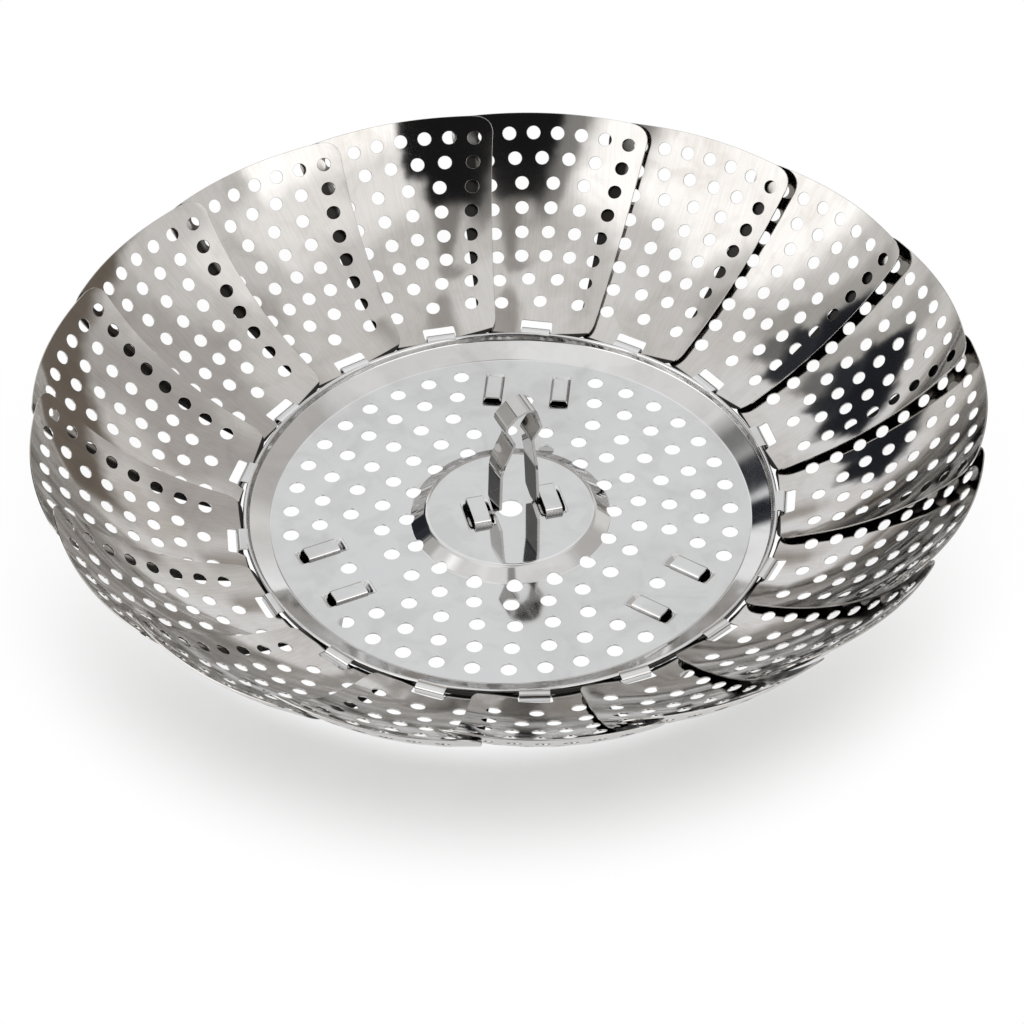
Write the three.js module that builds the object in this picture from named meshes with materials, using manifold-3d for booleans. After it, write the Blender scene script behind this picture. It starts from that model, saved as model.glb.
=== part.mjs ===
// Folding steamer basket: a perforated base plate, a ring of hinged petals, three folding legs and a strip handle.
// Millimetres, +Z up, ground at z = 0, basket axis on Z. Petals open, legs out, handle upright.
import * as THREE from "three";
import Module from "manifold-3d";

const wasm = await Module();
wasm.setup();

// Base plate
const RIM_R = 70; // outer radius of the rolled rim
const SHEET = 0.5; // sheet thickness of the plate
const LEG_HEIGHT = 26.5; // ground to the plate's underside
const RIM_RISE = 4.3; // top of the rim above the flat disc
const BEAD_R = 0.6; // rolled edge
const BAND_WIDTH = 8.5; // curved border between disc and rim
const HUB_R = 26; // foot of the raised hub
const HUB_SLOPE = 3.2; // radial run of the hub's flank
const HUB_RISE = 2.5;
const CENTRE_HOLE_R = 3.2;
const PLATE_HOLE_R = 2.1;
const PLATE_HOLE_SIDES = 6;
const LAYOUT_DEG = 84; // direction of the first leg
const LEG_COUNT = 3;
const LEG_CLEAR_DEG = 16; // no ring holes this close to a leg's middle
const FIRST_RING_OUT = 1.2; // the inner rings of holes are set out from the hub's foot
const SECOND_RING_OUT = 8;
const THIRD_RING_IN = 28.1; // the outer rings, the housings and the pins are set in from the rim
const FOURTH_RING_IN = 20;
const FIFTH_RING_IN = 12.3;
const HOLE_RINGS = [
  { r: HUB_R + FIRST_RING_OUT, count: 16, phase: 1.34 },
  { r: HUB_R + SECOND_RING_OUT, count: 22, phase: 7.59 },
  { r: RIM_R - THIRD_RING_IN, count: 27, phase: 4, breaks: true },
  { r: RIM_R - FOURTH_RING_IN, count: 33, phase: -3.29, breaks: true },
  { r: RIM_R - FIFTH_RING_IN, count: 39, phase: 0.93, breaks: true },
];
const LONE_HOLE_IN = 23.8; // the single hole between two leg housings
const LONE_HOLE_R = RIM_R - LONE_HOLE_IN;
const CUT_DEPTH = 20; // cutters reach this far through the sheet

// Leg housings: open-ended channels raised out of the plate
const HOUSING_FAR_IN = 24.4; // inner mouth, in from the rim
const HOUSING_NEAR_IN = 15.6; // outer mouth
const HOUSING_IN = RIM_R - HOUSING_FAR_IN;
const HOUSING_OUT = RIM_R - HOUSING_NEAR_IN;
const HOUSING_SPREAD = 9; // from the leg's middle plane to each housing
const HOUSING_HALF = 2.6;
const HOUSING_RISE = 1.3;
const HOUSING_LEAN = 0.7; // how much narrower the top is on each side
const HOUSING_WALL = 0.55; // flank, measured across
const MOUTH_CUT = 0.3; // slit in front of each mouth

// Legs and their pins
const PIN_R = 0.7;
const PIN_PLAY = 0.3;
const PIN_IN = 19.5; // the pin's line, in from the rim
const PIN_AT = RIM_R - PIN_IN;
const PIN_DROP = 1.2; // pin line below the plate's underside
const STRIP = 0.8; // leg and handle strip thickness
const ARM_WIDTH = 3;
const LEG_SPLAY = 4.6; // how far the foot stands outside the pin
const FOOT_DEPTH = 4.6;
const CROSSBAR = 6;
const LUG = 1; // thickness of the pin's lugs
const LUG_HALF = 1.9; // lug round the pin line, each way
const LUG_OFF = 2.5; // lug's middle outside the housing
const PIN_END = 1; // pin beyond the lug's middle

// Petals
const PETALS = 17;
const PETAL_DEG = 83.4; // direction of the first petal
const PETAL_SHEET = 0.4;
const PETAL_LENGTH = 64.4;
const PETAL_HALF = 15.5; // half width at the hinge
const PETAL_FLARE = 0.206; // half width gained per mm of length
const PETAL_SLOPE = THREE.MathUtils.degToRad(19.8);
const PETAL_STRAIGHT = 8; // straight run before the curve starts
const PETAL_BEND_R = 90; // curve along the petal
const PETAL_CROSS_R = 90; // curve across the petal
const PETAL_TILT = THREE.MathUtils.degToRad(2.45);
const PETAL_RIM_R = 150; // outer edge, in the flat
const INNER_CORNER = 4;
const INNER_TRIM = 0.09; // clockwise half of the inner edge, turned away from the rim
const INNER_SWEEP_R = 45; // other half of the inner edge
const HINGE_FLAT = 5; // half of the inner edge that runs along the hinge axis
const OUTER_CORNER = 6.5;
const PETAL_HOLE_R = 1.85;
const PETAL_HOLE_SIDES = 4;
const ROW_COUNTS = [3, 4, 5, 5, 5, 5, 6, 7]; // a longer petal repeats the last count
const ROW_EDGE = 3.4; // least sheet between a row's middle and the outer edge
const ROW_FIRST = 10.1;
const ROW_PITCH = 6.97;
const ROW_FAN = 35; // rows are arcs about a point this far inside the hinge
const ROW_LEFT = 6.7; // first hole from the clockwise side, at the first row
const ROW_RIGHT = 7.3;
const ROW_LEFT_GAIN = -0.024; // change of that margin per mm of length
const ROW_RIGHT_GAIN = 0.044;

// Petal hinges
const HINGE_OUT = 1; // hinge axis outside the rim
const EYE_R = 0.95; // inside of the curled tongue
const TONGUE = 0.4; // tongue thickness
const TONGUE_HALF = 3.9;
const HINGE_SKEW = THREE.MathUtils.degToRad(4.5); // axis turned off the tangent, so petals twist as they fold
const SLOT_HALF = 4.3;
const SLOT_END = 3.7; // slot's outer end from the axis
const BAR_HALF = 0.43; // half width of the bar held in the tongue

// Handle
const HANDLE_DEG = 24;
const HANDLE_SHIFT = 1; // loop's middle off the basket axis, along the strip's plane
const HANDLE_WIDTH = 7.2;
const HANDLE_AXIS = 1.15; // swing axis above the hub
const TAB_HALF = 0.75;
const TAPER = 4; // height over which the strip narrows to its tabs
const TAB_REACH = 5;
const LOOP_HALF = 5.5; // legs of the loop, half spacing at the foot
// corners of the loop: along the strip's plane, above the hub, bend radius
const LOOP = [
  [-4.85, 14.9, 10],
  [-4, 18, 8],
  [-0.85, 24.3, 2.2],
  [-3.5, 30.4, 2],
  [0.05, 33.6, 0.7],
  [3.5, 34.6, 2.2],
  [5.2, 33.6, 1.4],
  [6.7, 27.9, 0.9],
  [4.2, 24.3, 1],
  [5.15, 15.6, 20],
];
const FOOT_BEND = 0.7; // bend radius where the loop turns into its tabs
const STRAP_DEG = 13; // the straps' line, a little off the handle's plane
const STRAP_HALF = 5.6;
const STRAP_RISE = 2.8;
const STRAP_LENGTH = 4.5;
const STRAP_GAP = 1.8; // loop's leg to the strap

// Derived levels
const PLATE_Z = LEG_HEIGHT + SHEET;
const FLAT_R = RIM_R - BAND_WIDTH;
const HINGE_R = RIM_R + HINGE_OUT;
const HINGE_Z = RIM_RISE - BEAD_R * 2;
const PIN_Z = -SHEET - PIN_DROP;
const LUG_AT = HOUSING_SPREAD + HOUSING_HALF + LUG_OFF;
const rad = THREE.MathUtils.degToRad;

// Solids
function solidOf(geometry) {
  const g = geometry.index ? geometry.toNonIndexed() : geometry;
  const p = g.getAttribute("position");
  const seen = new Map();
  const verts = [];
  const tris = [];
  for (let i = 0; i < p.count; i++) {
    const key = [p.getX(i), p.getY(i), p.getZ(i)].map((c) => Math.round(c * 1e4)).join();
    if (!seen.has(key)) {
      seen.set(key, verts.length / 3);
      verts.push(p.getX(i), p.getY(i), p.getZ(i));
    }
    tris.push(seen.get(key));
  }
  const triVerts = [];
  for (let i = 0; i < tris.length; i += 3) {
    const [a, b, c] = tris.slice(i, i + 3);
    if (a !== b && b !== c && c !== a) triVerts.push(a, b, c);
  }
  const mesh = new wasm.Mesh({
    numProp: 3,
    vertProperties: new Float32Array(verts),
    triVerts: new Uint32Array(triVerts),
  });
  return new wasm.Manifold(mesh);
}

function geometryOf(solid) {
  const m = solid.getMesh();
  const v = new Float32Array(m.numVert * 3);
  for (let i = 0; i < m.numVert; i++) {
    v.set(m.vertProperties.subarray(i * m.numProp, i * m.numProp + 3), i * 3);
  }
  const g = new THREE.BufferGeometry();
  g.setAttribute("position", new THREE.BufferAttribute(v, 3));
  g.setIndex(new THREE.BufferAttribute(new Uint32Array(m.triVerts), 1));
  return g;
}

// A frame at azimuth deg: X points out along it, Y counter-clockwise, Z up, z = 0 on the flat disc.
function frameAt(deg, turn = 0, x = 0) {
  const m = new THREE.Matrix4().makeRotationZ(rad(deg));
  m.setPosition(0, 0, PLATE_Z);
  if (!turn) return m;
  const twist = new THREE.Matrix4().makeTranslation(x, 0, 0);
  twist.multiply(new THREE.Matrix4().makeRotationZ(turn));
  twist.multiply(new THREE.Matrix4().makeTranslation(-x, 0, 0));
  return m.multiply(twist);
}

// Outline of [x, z] points in a frame's XZ plane, extruded from y = from to y = to.
function extrudeAcross(points, from, to, frame) {
  const shape = new THREE.Shape(points.map(([x, z]) => new THREE.Vector2(x, z)));
  const g = new THREE.ExtrudeGeometry(shape, { depth: to - from, bevelEnabled: false, steps: 1 });
  g.rotateX(Math.PI / 2).translate(0, to, 0).applyMatrix4(frame);
  return solidOf(g);
}

// Outline of [y, z] points in a frame's YZ plane, extruded from x = from to x = to.
function extrudeOut(points, from, to, frame) {
  const shape = new THREE.Shape(points.map(([y, z]) => new THREE.Vector2(y, z)));
  const g = new THREE.ExtrudeGeometry(shape, { depth: to - from, bevelEnabled: false, steps: 1 });
  const basis = new THREE.Matrix4().makeBasis(
    new THREE.Vector3(0, 1, 0),
    new THREE.Vector3(0, 0, 1),
    new THREE.Vector3(1, 0, 0),
  );
  g.applyMatrix4(basis).translate(from, 0, 0).applyMatrix4(frame);
  return solidOf(g);
}

// A round bar along the frame's Y axis.
function barAcross(r, length, x, z, frame, sides) {
  const g = new THREE.CylinderGeometry(r, r, length, sides);
  g.translate(x, 0, z).applyMatrix4(frame);
  return solidOf(g);
}

function arc(cx, cz, r, fromDeg, toDeg, steps) {
  const out = [];
  for (let i = 0; i <= steps; i++) {
    const a = rad(fromDeg + ((toDeg - fromDeg) * i) / steps);
    out.push([cx + r * Math.cos(a), cz + r * Math.sin(a)]);
  }
  return out;
}

// A path of [x, z] points with its corners rounded to the radius given as third number.
function filleted(corners) {
  const out = [corners[0].slice(0, 2)];
  for (let i = 1; i < corners.length - 1; i++) {
    const [x, z, r] = corners[i];
    const at = new THREE.Vector2(x, z);
    const before = new THREE.Vector2(corners[i - 1][0], corners[i - 1][1]).sub(at);
    const after = new THREE.Vector2(corners[i + 1][0], corners[i + 1][1]).sub(at);
    const half = Math.acos(before.dot(after) / before.length() / after.length()) / 2;
    const run = Math.min(r / Math.tan(half), before.length() * 0.48, after.length() * 0.48);
    const from = before.setLength(run).add(at);
    const to = after.setLength(run).add(at);
    const bend = new THREE.QuadraticBezierCurve(from, at, to);
    bend.getPoints(3).forEach((p) => out.push([p.x, p.y]));
  }
  out.push(corners[corners.length - 1].slice(0, 2));
  return out;
}

// The two sides of a strip of the given thickness along a path of [x, z] points, as one closed outline.
function stripOutline(path, thickness) {
  const left = [];
  const right = [];
  path.forEach(([x, z], i) => {
    const [x0, z0] = path[Math.max(i - 1, 0)];
    const [x1, z1] = path[Math.min(i + 1, path.length - 1)];
    const before = new THREE.Vector2(x - x0, z - z0);
    const after = new THREE.Vector2(x1 - x, z1 - z);
    if (i === 0) before.copy(after);
    if (i === path.length - 1) after.copy(before);
    before.normalize();
    after.normalize();
    const along = before.clone().add(after).normalize();
    const reach = thickness / 2 / Math.max(along.dot(before), 0.6);
    left.push([x - along.y * reach, z + along.x * reach]);
    right.push([x + along.y * reach, z - along.x * reach]);
  });
  return right.concat(left.reverse());
}

// Base plate
function plateProfile() {
  const beadR = RIM_R - BEAD_R;
  const beadZ = RIM_RISE - BEAD_R;
  const rise = (f) => (beadZ - BEAD_R) * f * f;
  const band = [0.3, 0.6, 0.85].map((f) => [FLAT_R + (beadR - FLAT_R) * f, rise(f)]);
  const top = [
    [CENTRE_HOLE_R, HUB_RISE],
    [HUB_R - HUB_SLOPE, HUB_RISE],
    [HUB_R, 0],
    [FLAT_R, 0],
    ...band,
    ...arc(beadR, beadZ, BEAD_R, 170, -90, 4),
  ];
  const bottom = band.map(([r, z], i) => [r + 0.08 + 0.14 * i, z - SHEET]).reverse();
  const under = [
    ...bottom,
    [FLAT_R, -SHEET],
    [HUB_R - 0.3, -SHEET],
    [HUB_R - HUB_SLOPE - 0.3, HUB_RISE - SHEET],
    [CENTRE_HOLE_R, HUB_RISE - SHEET],
  ];
  return top.concat(under);
}

function revolve(profile, sides) {
  const loop = profile.concat([profile[0]]).map(([r, z]) => new THREE.Vector2(r, z));
  const g = new THREE.LatheGeometry(loop, sides);
  g.rotateX(Math.PI / 2).translate(0, 0, PLATE_Z);
  let solid = solidOf(g);
  if (solid.volume() < 0) {
    const flipped = new THREE.LatheGeometry(loop.reverse(), sides);
    flipped.rotateX(Math.PI / 2).translate(0, 0, PLATE_Z);
    solid = solidOf(flipped);
  }
  return solid;
}

function legAngles() {
  return Array.from({ length: LEG_COUNT }, (_, i) => LAYOUT_DEG + (i * 360) / LEG_COUNT);
}

function offLeg(deg) {
  return Math.min(...legAngles().map((a) => Math.abs(((deg - a + 540) % 360) - 180)));
}

function plateHole(r, deg) {
  const g = new THREE.CylinderGeometry(PLATE_HOLE_R, PLATE_HOLE_R, CUT_DEPTH, PLATE_HOLE_SIDES);
  g.rotateX(Math.PI / 2).translate(r, 0, 0).applyMatrix4(frameAt(deg));
  return solidOf(g);
}

function plateHoles() {
  const out = [];
  for (const ring of HOLE_RINGS) {
    for (let i = 0; i < ring.count; i++) {
      const deg = ring.phase + (i * 360) / ring.count;
      if (ring.breaks && offLeg(deg) < LEG_CLEAR_DEG) continue;
      out.push(plateHole(ring.r, deg));
    }
  }
  legAngles().forEach((deg) => out.push(plateHole(LONE_HOLE_R, deg)));
  return out;
}

// Channel outline in [y, z]: the raised outside, and the hollow below it that opens the plate.
function channel(half, rise, lean, floor) {
  const outside = [
    [-half, floor - SHEET / 2],
    [half, floor - SHEET / 2],
    [half, floor],
    [half - lean, floor + rise],
    [-half + lean, floor + rise],
    [-half, floor],
  ];
  const inner = half - HOUSING_WALL;
  const hollow = [
    [-inner, floor - 4 * SHEET],
    [inner, floor - 4 * SHEET],
    [inner, floor],
    [inner - lean, floor + rise - SHEET],
    [-inner + lean, floor + rise - SHEET],
    [-inner, floor],
  ];
  return { outside, hollow };
}

function shift(points, dy) {
  return points.map(([y, z]) => [y + dy, z]);
}

function tongue(deg) {
  const frame = frameAt(deg, -HINGE_SKEW, HINGE_R);
  const outer = EYE_R + TONGUE;
  const points = [
    [HINGE_R - HINGE_OUT - BEAD_R, HINGE_Z + outer - 0.7],
    ...arc(HINGE_R, HINGE_Z, EYE_R, 90, -90, 4),
    ...arc(HINGE_R, HINGE_Z, outer, -90, 90, 4),
    [HINGE_R - HINGE_OUT - BEAD_R, HINGE_Z + outer - 0.15],
  ];
  return extrudeAcross(points.reverse(), -TONGUE_HALF, TONGUE_HALF, frame);
}

function basePlate() {
  let plate = revolve(plateProfile(), PETALS * 3);
  const add = [];
  const cut = plateHoles();
  const { outside, hollow } = channel(HOUSING_HALF, HOUSING_RISE, HOUSING_LEAN, 0);
  for (const deg of legAngles()) {
    const frame = frameAt(deg);
    for (const side of [-1, 1]) {
      const y = side * HOUSING_SPREAD;
      add.push(extrudeOut(shift(outside, y), HOUSING_IN, HOUSING_OUT, frame));
      cut.push(extrudeOut(shift(hollow, y), HOUSING_IN - MOUTH_CUT, HOUSING_OUT + MOUTH_CUT, frame));
      const lugY = side * LUG_AT;
      const lug = [
        [PIN_AT - LUG_HALF, -SHEET / 2],
        [PIN_AT - LUG_HALF, PIN_Z - LUG_HALF],
        [PIN_AT + LUG_HALF, PIN_Z - LUG_HALF],
        [PIN_AT + LUG_HALF, -SHEET / 2],
      ];
      add.push(extrudeAcross(lug, lugY - LUG / 2, lugY + LUG / 2, frame));
    }
    cut.push(barAcross(PIN_R + PIN_PLAY, 2 * (LUG_AT + LUG), PIN_AT, PIN_Z, frame, 10));
  }
  const strap = channel(STRAP_HALF, STRAP_RISE, HOUSING_LEAN, HUB_RISE);
  const strapFrame = frameAt(STRAP_DEG);
  for (const side of [-1, 1]) {
    const near = HANDLE_SHIFT * side + LOOP_HALF + STRAP_GAP;
    const ends = side > 0 ? [near, near + STRAP_LENGTH] : [-near - STRAP_LENGTH, -near];
    add.push(extrudeOut(strap.outside, ends[0], ends[1], strapFrame));
    cut.push(extrudeOut(strap.hollow, ends[0] - MOUTH_CUT, ends[1] + MOUTH_CUT, strapFrame));
  }
  for (let k = 0; k < PETALS; k++) add.push(tongue(petalAngle(k)));
  for (const s of add) plate = plate.add(s);
  for (const s of cut) plate = plate.subtract(s);
  return plate;
}

// Petals
function petalAngle(k) {
  return PETAL_DEG - (k * 360) / PETALS;
}

// s runs outwards from the hinge axis, t counter-clockwise, lift along the inner normal.
function petalPoint(s, t, lift) {
  const straight = Math.min(s, PETAL_STRAIGHT);
  const slope = PETAL_SLOPE + Math.max(s - PETAL_STRAIGHT, 0) / PETAL_BEND_R;
  const x = straight * Math.cos(PETAL_SLOPE) + (Math.sin(slope) - Math.sin(PETAL_SLOPE)) * PETAL_BEND_R;
  const z = straight * Math.sin(PETAL_SLOPE) + (Math.cos(PETAL_SLOPE) - Math.cos(slope)) * PETAL_BEND_R;
  const h = (t * t) / (2 * PETAL_CROSS_R) - Math.tan(PETAL_TILT) * t + lift;
  return new THREE.Vector3(HINGE_R + x - Math.sin(slope) * h, t, HINGE_Z + z + Math.cos(slope) * h);
}

function petalHalf(s) {
  return PETAL_HALF + PETAL_FLARE * s;
}

function hingeLine(t) {
  return (t * Math.tan(HINGE_SKEW)) / Math.cos(PETAL_SLOPE);
}

function innerEdge(t) {
  const held = Math.max(Math.min(t, HINGE_FLAT), -HINGE_FLAT);
  const past = Math.abs(t) - Math.abs(held);
  const sweep = t < 0 ? past * INNER_TRIM : -(past * past) / (2 * INNER_SWEEP_R);
  return hingeLine(held) - BAR_HALF + sweep;
}

function outerEdge(t) {
  return PETAL_LENGTH - (t * t) / (2 * PETAL_RIM_R);
}

function between(a, b, steps, skipLast = true) {
  const out = [];
  const last = skipLast ? steps : steps + 1;
  for (let i = 0; i < last; i++) out.push(a + ((b - a) * i) / steps);
  return out;
}

function corner(from, via, to, steps) {
  const curve = new THREE.QuadraticBezierCurve(from, via, to);
  return curve.getPoints(steps).slice(0, -1);
}

// The petal's outline in (t, s), counter-clockwise.
function petalContour() {
  const v = (t, s) => new THREE.Vector2(t, s);
  const tIn = petalHalf(0) - INNER_CORNER;
  const sideIn = INNER_CORNER;
  const tip = petalHalf(PETAL_LENGTH);
  const tOut = tip - OUTER_CORNER;
  const sideOut = outerEdge(tip) - OUTER_CORNER;
  const right = (s) => v(petalHalf(s), s);
  const left = (s) => v(-petalHalf(s), s);
  return [
    ...[-tIn, -HINGE_FLAT, -HINGE_FLAT / 3, HINGE_FLAT / 3, HINGE_FLAT].map((t) => v(t, innerEdge(t))),
    ...corner(v(tIn, innerEdge(tIn)), v(petalHalf(0), innerEdge(tIn)), right(sideIn), 3),
    ...between(sideIn, sideOut, 5).map(right),
    ...corner(right(sideOut), v(tip, outerEdge(tip)), v(tOut, outerEdge(tOut)), 4),
    ...between(tOut, -tOut, 5).map((t) => v(t, outerEdge(t))),
    ...corner(v(-tOut, outerEdge(tOut)), v(-tip, outerEdge(tip)), left(sideOut), 4),
    ...between(sideOut, sideIn, 5).map(left),
    ...corner(left(sideIn), v(-petalHalf(0), innerEdge(-tIn)), v(-tIn, innerEdge(-tIn)), 3),
  ];
}

function petalHoleCentres() {
  const out = [];
  for (let row = 0, s = ROW_FIRST; s <= PETAL_LENGTH - ROW_EDGE; row++, s += ROW_PITCH) {
    const count = ROW_COUNTS[Math.min(row, ROW_COUNTS.length - 1)];
    const from = ROW_LEFT + ROW_LEFT_GAIN * (s - ROW_FIRST) - petalHalf(s);
    const to = petalHalf(s) - ROW_RIGHT - ROW_RIGHT_GAIN * (s - ROW_FIRST);
    between(from, to, count - 1, false).forEach((t) => {
      out.push(new THREE.Vector2(t, s - (t * t) / (2 * (s + ROW_FAN))));
    });
  }
  return out;
}

function petalHoles() {
  const slot = [
    [-SLOT_HALF, BAR_HALF],
    [-SLOT_HALF, SLOT_END],
    [SLOT_HALF, SLOT_END],
    [SLOT_HALF, BAR_HALF],
  ].map(([t, s]) => new THREE.Vector2(t, s + hingeLine(t)));
  const round = petalHoleCentres().map((c) => {
    const ring = [];
    for (let i = 0; i < PETAL_HOLE_SIDES; i++) {
      const a = (-2 * Math.PI * i) / PETAL_HOLE_SIDES;
      ring.push(new THREE.Vector2(c.x + PETAL_HOLE_R * Math.cos(a), c.y + PETAL_HOLE_R * Math.sin(a)));
    }
    return ring;
  });
  return [slot, ...round];
}

// Swap the shared edge of two triangles where that gives shorter, fuller triangles.
function evenOut(points, faces) {
  const area = (a, b, c) => (b.x - a.x) * (c.y - a.y) - (b.y - a.y) * (c.x - a.x);
  const inCircle = (a, b, c, d) => {
    const rows = [a, b, c].map((p) => [p.x - d.x, p.y - d.y, (p.x - d.x) ** 2 + (p.y - d.y) ** 2]);
    const m = new THREE.Matrix3().set(...rows.flat());
    return m.determinant() > 1e-9;
  };
  const tris = faces.map(([a, b, c]) => (area(points[a], points[b], points[c]) < 0 ? [a, c, b] : [a, b, c]));
  for (let pass = 0; pass < 60; pass++) {
    const owner = new Map();
    tris.forEach((t, i) => {
      for (let e = 0; e < 3; e++) owner.set(t[e] + "," + t[(e + 1) % 3], i);
    });
    const used = new Set();
    tris.forEach((t, i) => {
      for (let e = 0; e < 3; e++) {
        const [a, b, c] = [t[e], t[(e + 1) % 3], t[(e + 2) % 3]];
        const j = owner.get(b + "," + a);
        if (j === undefined || used.has(i) || used.has(j)) continue;
        const d = tris[j].find((v) => v !== a && v !== b);
        const [pa, pb, pc, pd] = [a, b, c, d].map((v) => points[v]);
        if (area(pa, pd, pc) <= 1e-6 || area(pd, pb, pc) <= 1e-6 || !inCircle(pa, pb, pc, pd)) continue;
        used.add(i);
        used.add(j);
        tris[i] = [a, d, c];
        tris[j] = [d, b, c];
      }
    });
    if (!used.size) break;
  }
  return tris;
}

function petalSheet() {
  const contour = petalContour();
  const holes = petalHoles();
  const points = contour.concat(...holes);
  const faces = evenOut(points, THREE.ShapeUtils.triangulateShape(contour, holes));
  const position = [];
  for (const lift of [PETAL_SHEET / 2, -PETAL_SHEET / 2]) {
    points.forEach((p) => position.push(...petalPoint(p.y, p.x, lift).toArray()));
  }
  const n = points.length;
  const index = [];
  // the profile frame is left-handed in (t, s), so the top face runs the other way round
  faces.forEach(([a, b, c]) => index.push(a, c, b, a + n, b + n, c + n));
  let start = 0;
  for (const loop of [contour, ...holes]) {
    for (let i = 0; i < loop.length; i++) {
      const a = start + i;
      const b = start + ((i + 1) % loop.length);
      index.push(a, b, b + n, a, b + n, a + n);
    }
    start += loop.length;
  }
  const g = new THREE.BufferGeometry();
  g.setAttribute("position", new THREE.Float32BufferAttribute(position, 3));
  g.setIndex(index);
  return g;
}

// Legs
function leg(deg) {
  const frame = frameAt(deg);
  const ground = -PLATE_Z;
  const eye = PIN_R + PIN_PLAY;
  const outer = eye + STRIP;
  const hang = PIN_AT + outer - STRIP / 2;
  const footX = PIN_AT + LEG_SPLAY + outer;
  const path = [
    [hang, PIN_Z + 0.2],
    [footX, ground + STRIP / 2],
    [footX - FOOT_DEPTH, ground + STRIP / 2],
  ];
  const strip = stripOutline(path, STRIP);
  const barTop = ground + CROSSBAR;
  const lower = extrudeOut(
    [
      [-40, ground - 5],
      [40, ground - 5],
      [40, barTop],
      [-40, barTop],
    ],
    0,
    200,
    frame,
  );
  const half = HOUSING_SPREAD + ARM_WIDTH / 2;
  let solid = extrudeAcross(strip, -half, half, frame).intersect(lower);
  for (const side of [-1, 1]) {
    const y = side * HOUSING_SPREAD;
    const ends = [y - ARM_WIDTH / 2, y + ARM_WIDTH / 2];
    solid = solid.add(extrudeAcross(strip, ends[0], ends[1], frame));
    const knuckle = arc(PIN_AT, PIN_Z, outer, 0, 324, 9);
    solid = solid.add(extrudeAcross(knuckle, ends[0], ends[1], frame));
  }
  return solid.subtract(barAcross(eye, half * 2 + 2, PIN_AT, PIN_Z, frame, 10));
}

function legPin(deg) {
  return barAcross(PIN_R, 2 * (LUG_AT + PIN_END), PIN_AT, PIN_Z, frameAt(deg), 10);
}

// Handle
function handle() {
  const frame = frameAt(HANDLE_DEG);
  const floor = HUB_RISE + HANDLE_AXIS;
  const path = filleted([
    [-LOOP_HALF - TAB_REACH, floor],
    [-LOOP_HALF, floor, FOOT_BEND],
    ...LOOP.map(([x, z, r]) => [x, z + HUB_RISE, r]),
    [LOOP_HALF, floor, FOOT_BEND],
    [LOOP_HALF + TAB_REACH, floor],
  ]).map(([x, z]) => [x + HANDLE_SHIFT, z]);
  const half = HANDLE_WIDTH / 2;
  let solid = extrudeAcross(stripOutline(path, STRIP), -half, half, frame);
  for (const side of [-1, 1]) {
    const trim = [
      [TAB_HALF, floor - 3],
      [half + 3, floor - 3],
      [half + 3, floor + TAPER + 0.4],
      [half, floor + TAPER + 0.4],
      [TAB_HALF, floor + 0.4],
    ].map(([y, z]) => [y * side, z]);
    if (side < 0) trim.reverse();
    solid = solid.subtract(extrudeOut(trim, -30, 30, frame));
  }
  return solid;
}

// Assembly
const steel = new THREE.MeshStandardMaterial({ color: 0xc9c8c5, metalness: 1, roughness: 0.28 });
const polished = new THREE.MeshStandardMaterial({ color: 0xcfccc7, metalness: 1, roughness: 0.16 });
const wire = new THREE.MeshStandardMaterial({ color: 0xb9b8b5, metalness: 1, roughness: 0.35 });

const basket = new THREE.Group();
basket.name = "steamer_basket";

function addPart(name, geometry, material) {
  const mesh = new THREE.Mesh(geometry, material);
  mesh.name = name;
  basket.add(mesh);
}

addPart("base_plate", geometryOf(basePlate()), steel);
const sheet = petalSheet();
for (let k = 0; k < PETALS; k++) {
  const geometry = sheet.clone().applyMatrix4(frameAt(petalAngle(k)));
  addPart("petal_" + String(k + 1).padStart(2, "0"), geometry, polished);
}
legAngles().forEach((deg, i) => {
  addPart("leg_" + (i + 1), geometryOf(leg(deg)), steel);
  addPart("leg_pin_" + (i + 1), geometryOf(legPin(deg)), wire);
});
addPart("handle", geometryOf(handle()), steel);

export default basket;
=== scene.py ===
# %% [markdown]
# # A folding steamer basket
# Seventeen thin steel leaves turn in curled tongues round a punched plate. Three bent legs fold under the
# plate, and a strip handle swings in its middle. A press shop makes such a basket from flat sheet: it
# cuts a blank, punches the holes and presses the blank to shape. This lesson goes the same way, because a
# blank is easy to draw and a press is one formula.

# %% Load the fixed frame
import math

import bpy
import numpy as np
from mathutils import Matrix, Vector


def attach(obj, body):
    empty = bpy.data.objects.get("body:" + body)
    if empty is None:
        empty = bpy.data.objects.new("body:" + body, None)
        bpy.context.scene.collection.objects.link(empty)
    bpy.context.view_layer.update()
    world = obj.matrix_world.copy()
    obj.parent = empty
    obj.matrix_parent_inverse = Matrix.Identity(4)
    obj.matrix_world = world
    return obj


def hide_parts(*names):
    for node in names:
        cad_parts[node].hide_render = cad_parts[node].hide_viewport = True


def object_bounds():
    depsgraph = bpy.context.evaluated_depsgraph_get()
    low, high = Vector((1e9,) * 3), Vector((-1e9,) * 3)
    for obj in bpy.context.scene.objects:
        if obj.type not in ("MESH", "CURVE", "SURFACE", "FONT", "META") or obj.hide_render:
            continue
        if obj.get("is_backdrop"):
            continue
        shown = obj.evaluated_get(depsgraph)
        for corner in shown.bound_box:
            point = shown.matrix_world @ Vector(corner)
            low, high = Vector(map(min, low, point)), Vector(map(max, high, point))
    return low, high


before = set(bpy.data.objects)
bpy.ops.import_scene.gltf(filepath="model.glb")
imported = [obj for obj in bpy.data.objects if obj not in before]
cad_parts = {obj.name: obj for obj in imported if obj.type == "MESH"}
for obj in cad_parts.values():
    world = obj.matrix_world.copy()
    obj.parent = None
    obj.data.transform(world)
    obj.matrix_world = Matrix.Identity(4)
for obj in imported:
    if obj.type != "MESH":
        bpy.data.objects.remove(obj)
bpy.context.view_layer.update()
MM = 0.001  # sizes below are in millimetres, Blender's are in metres

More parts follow.
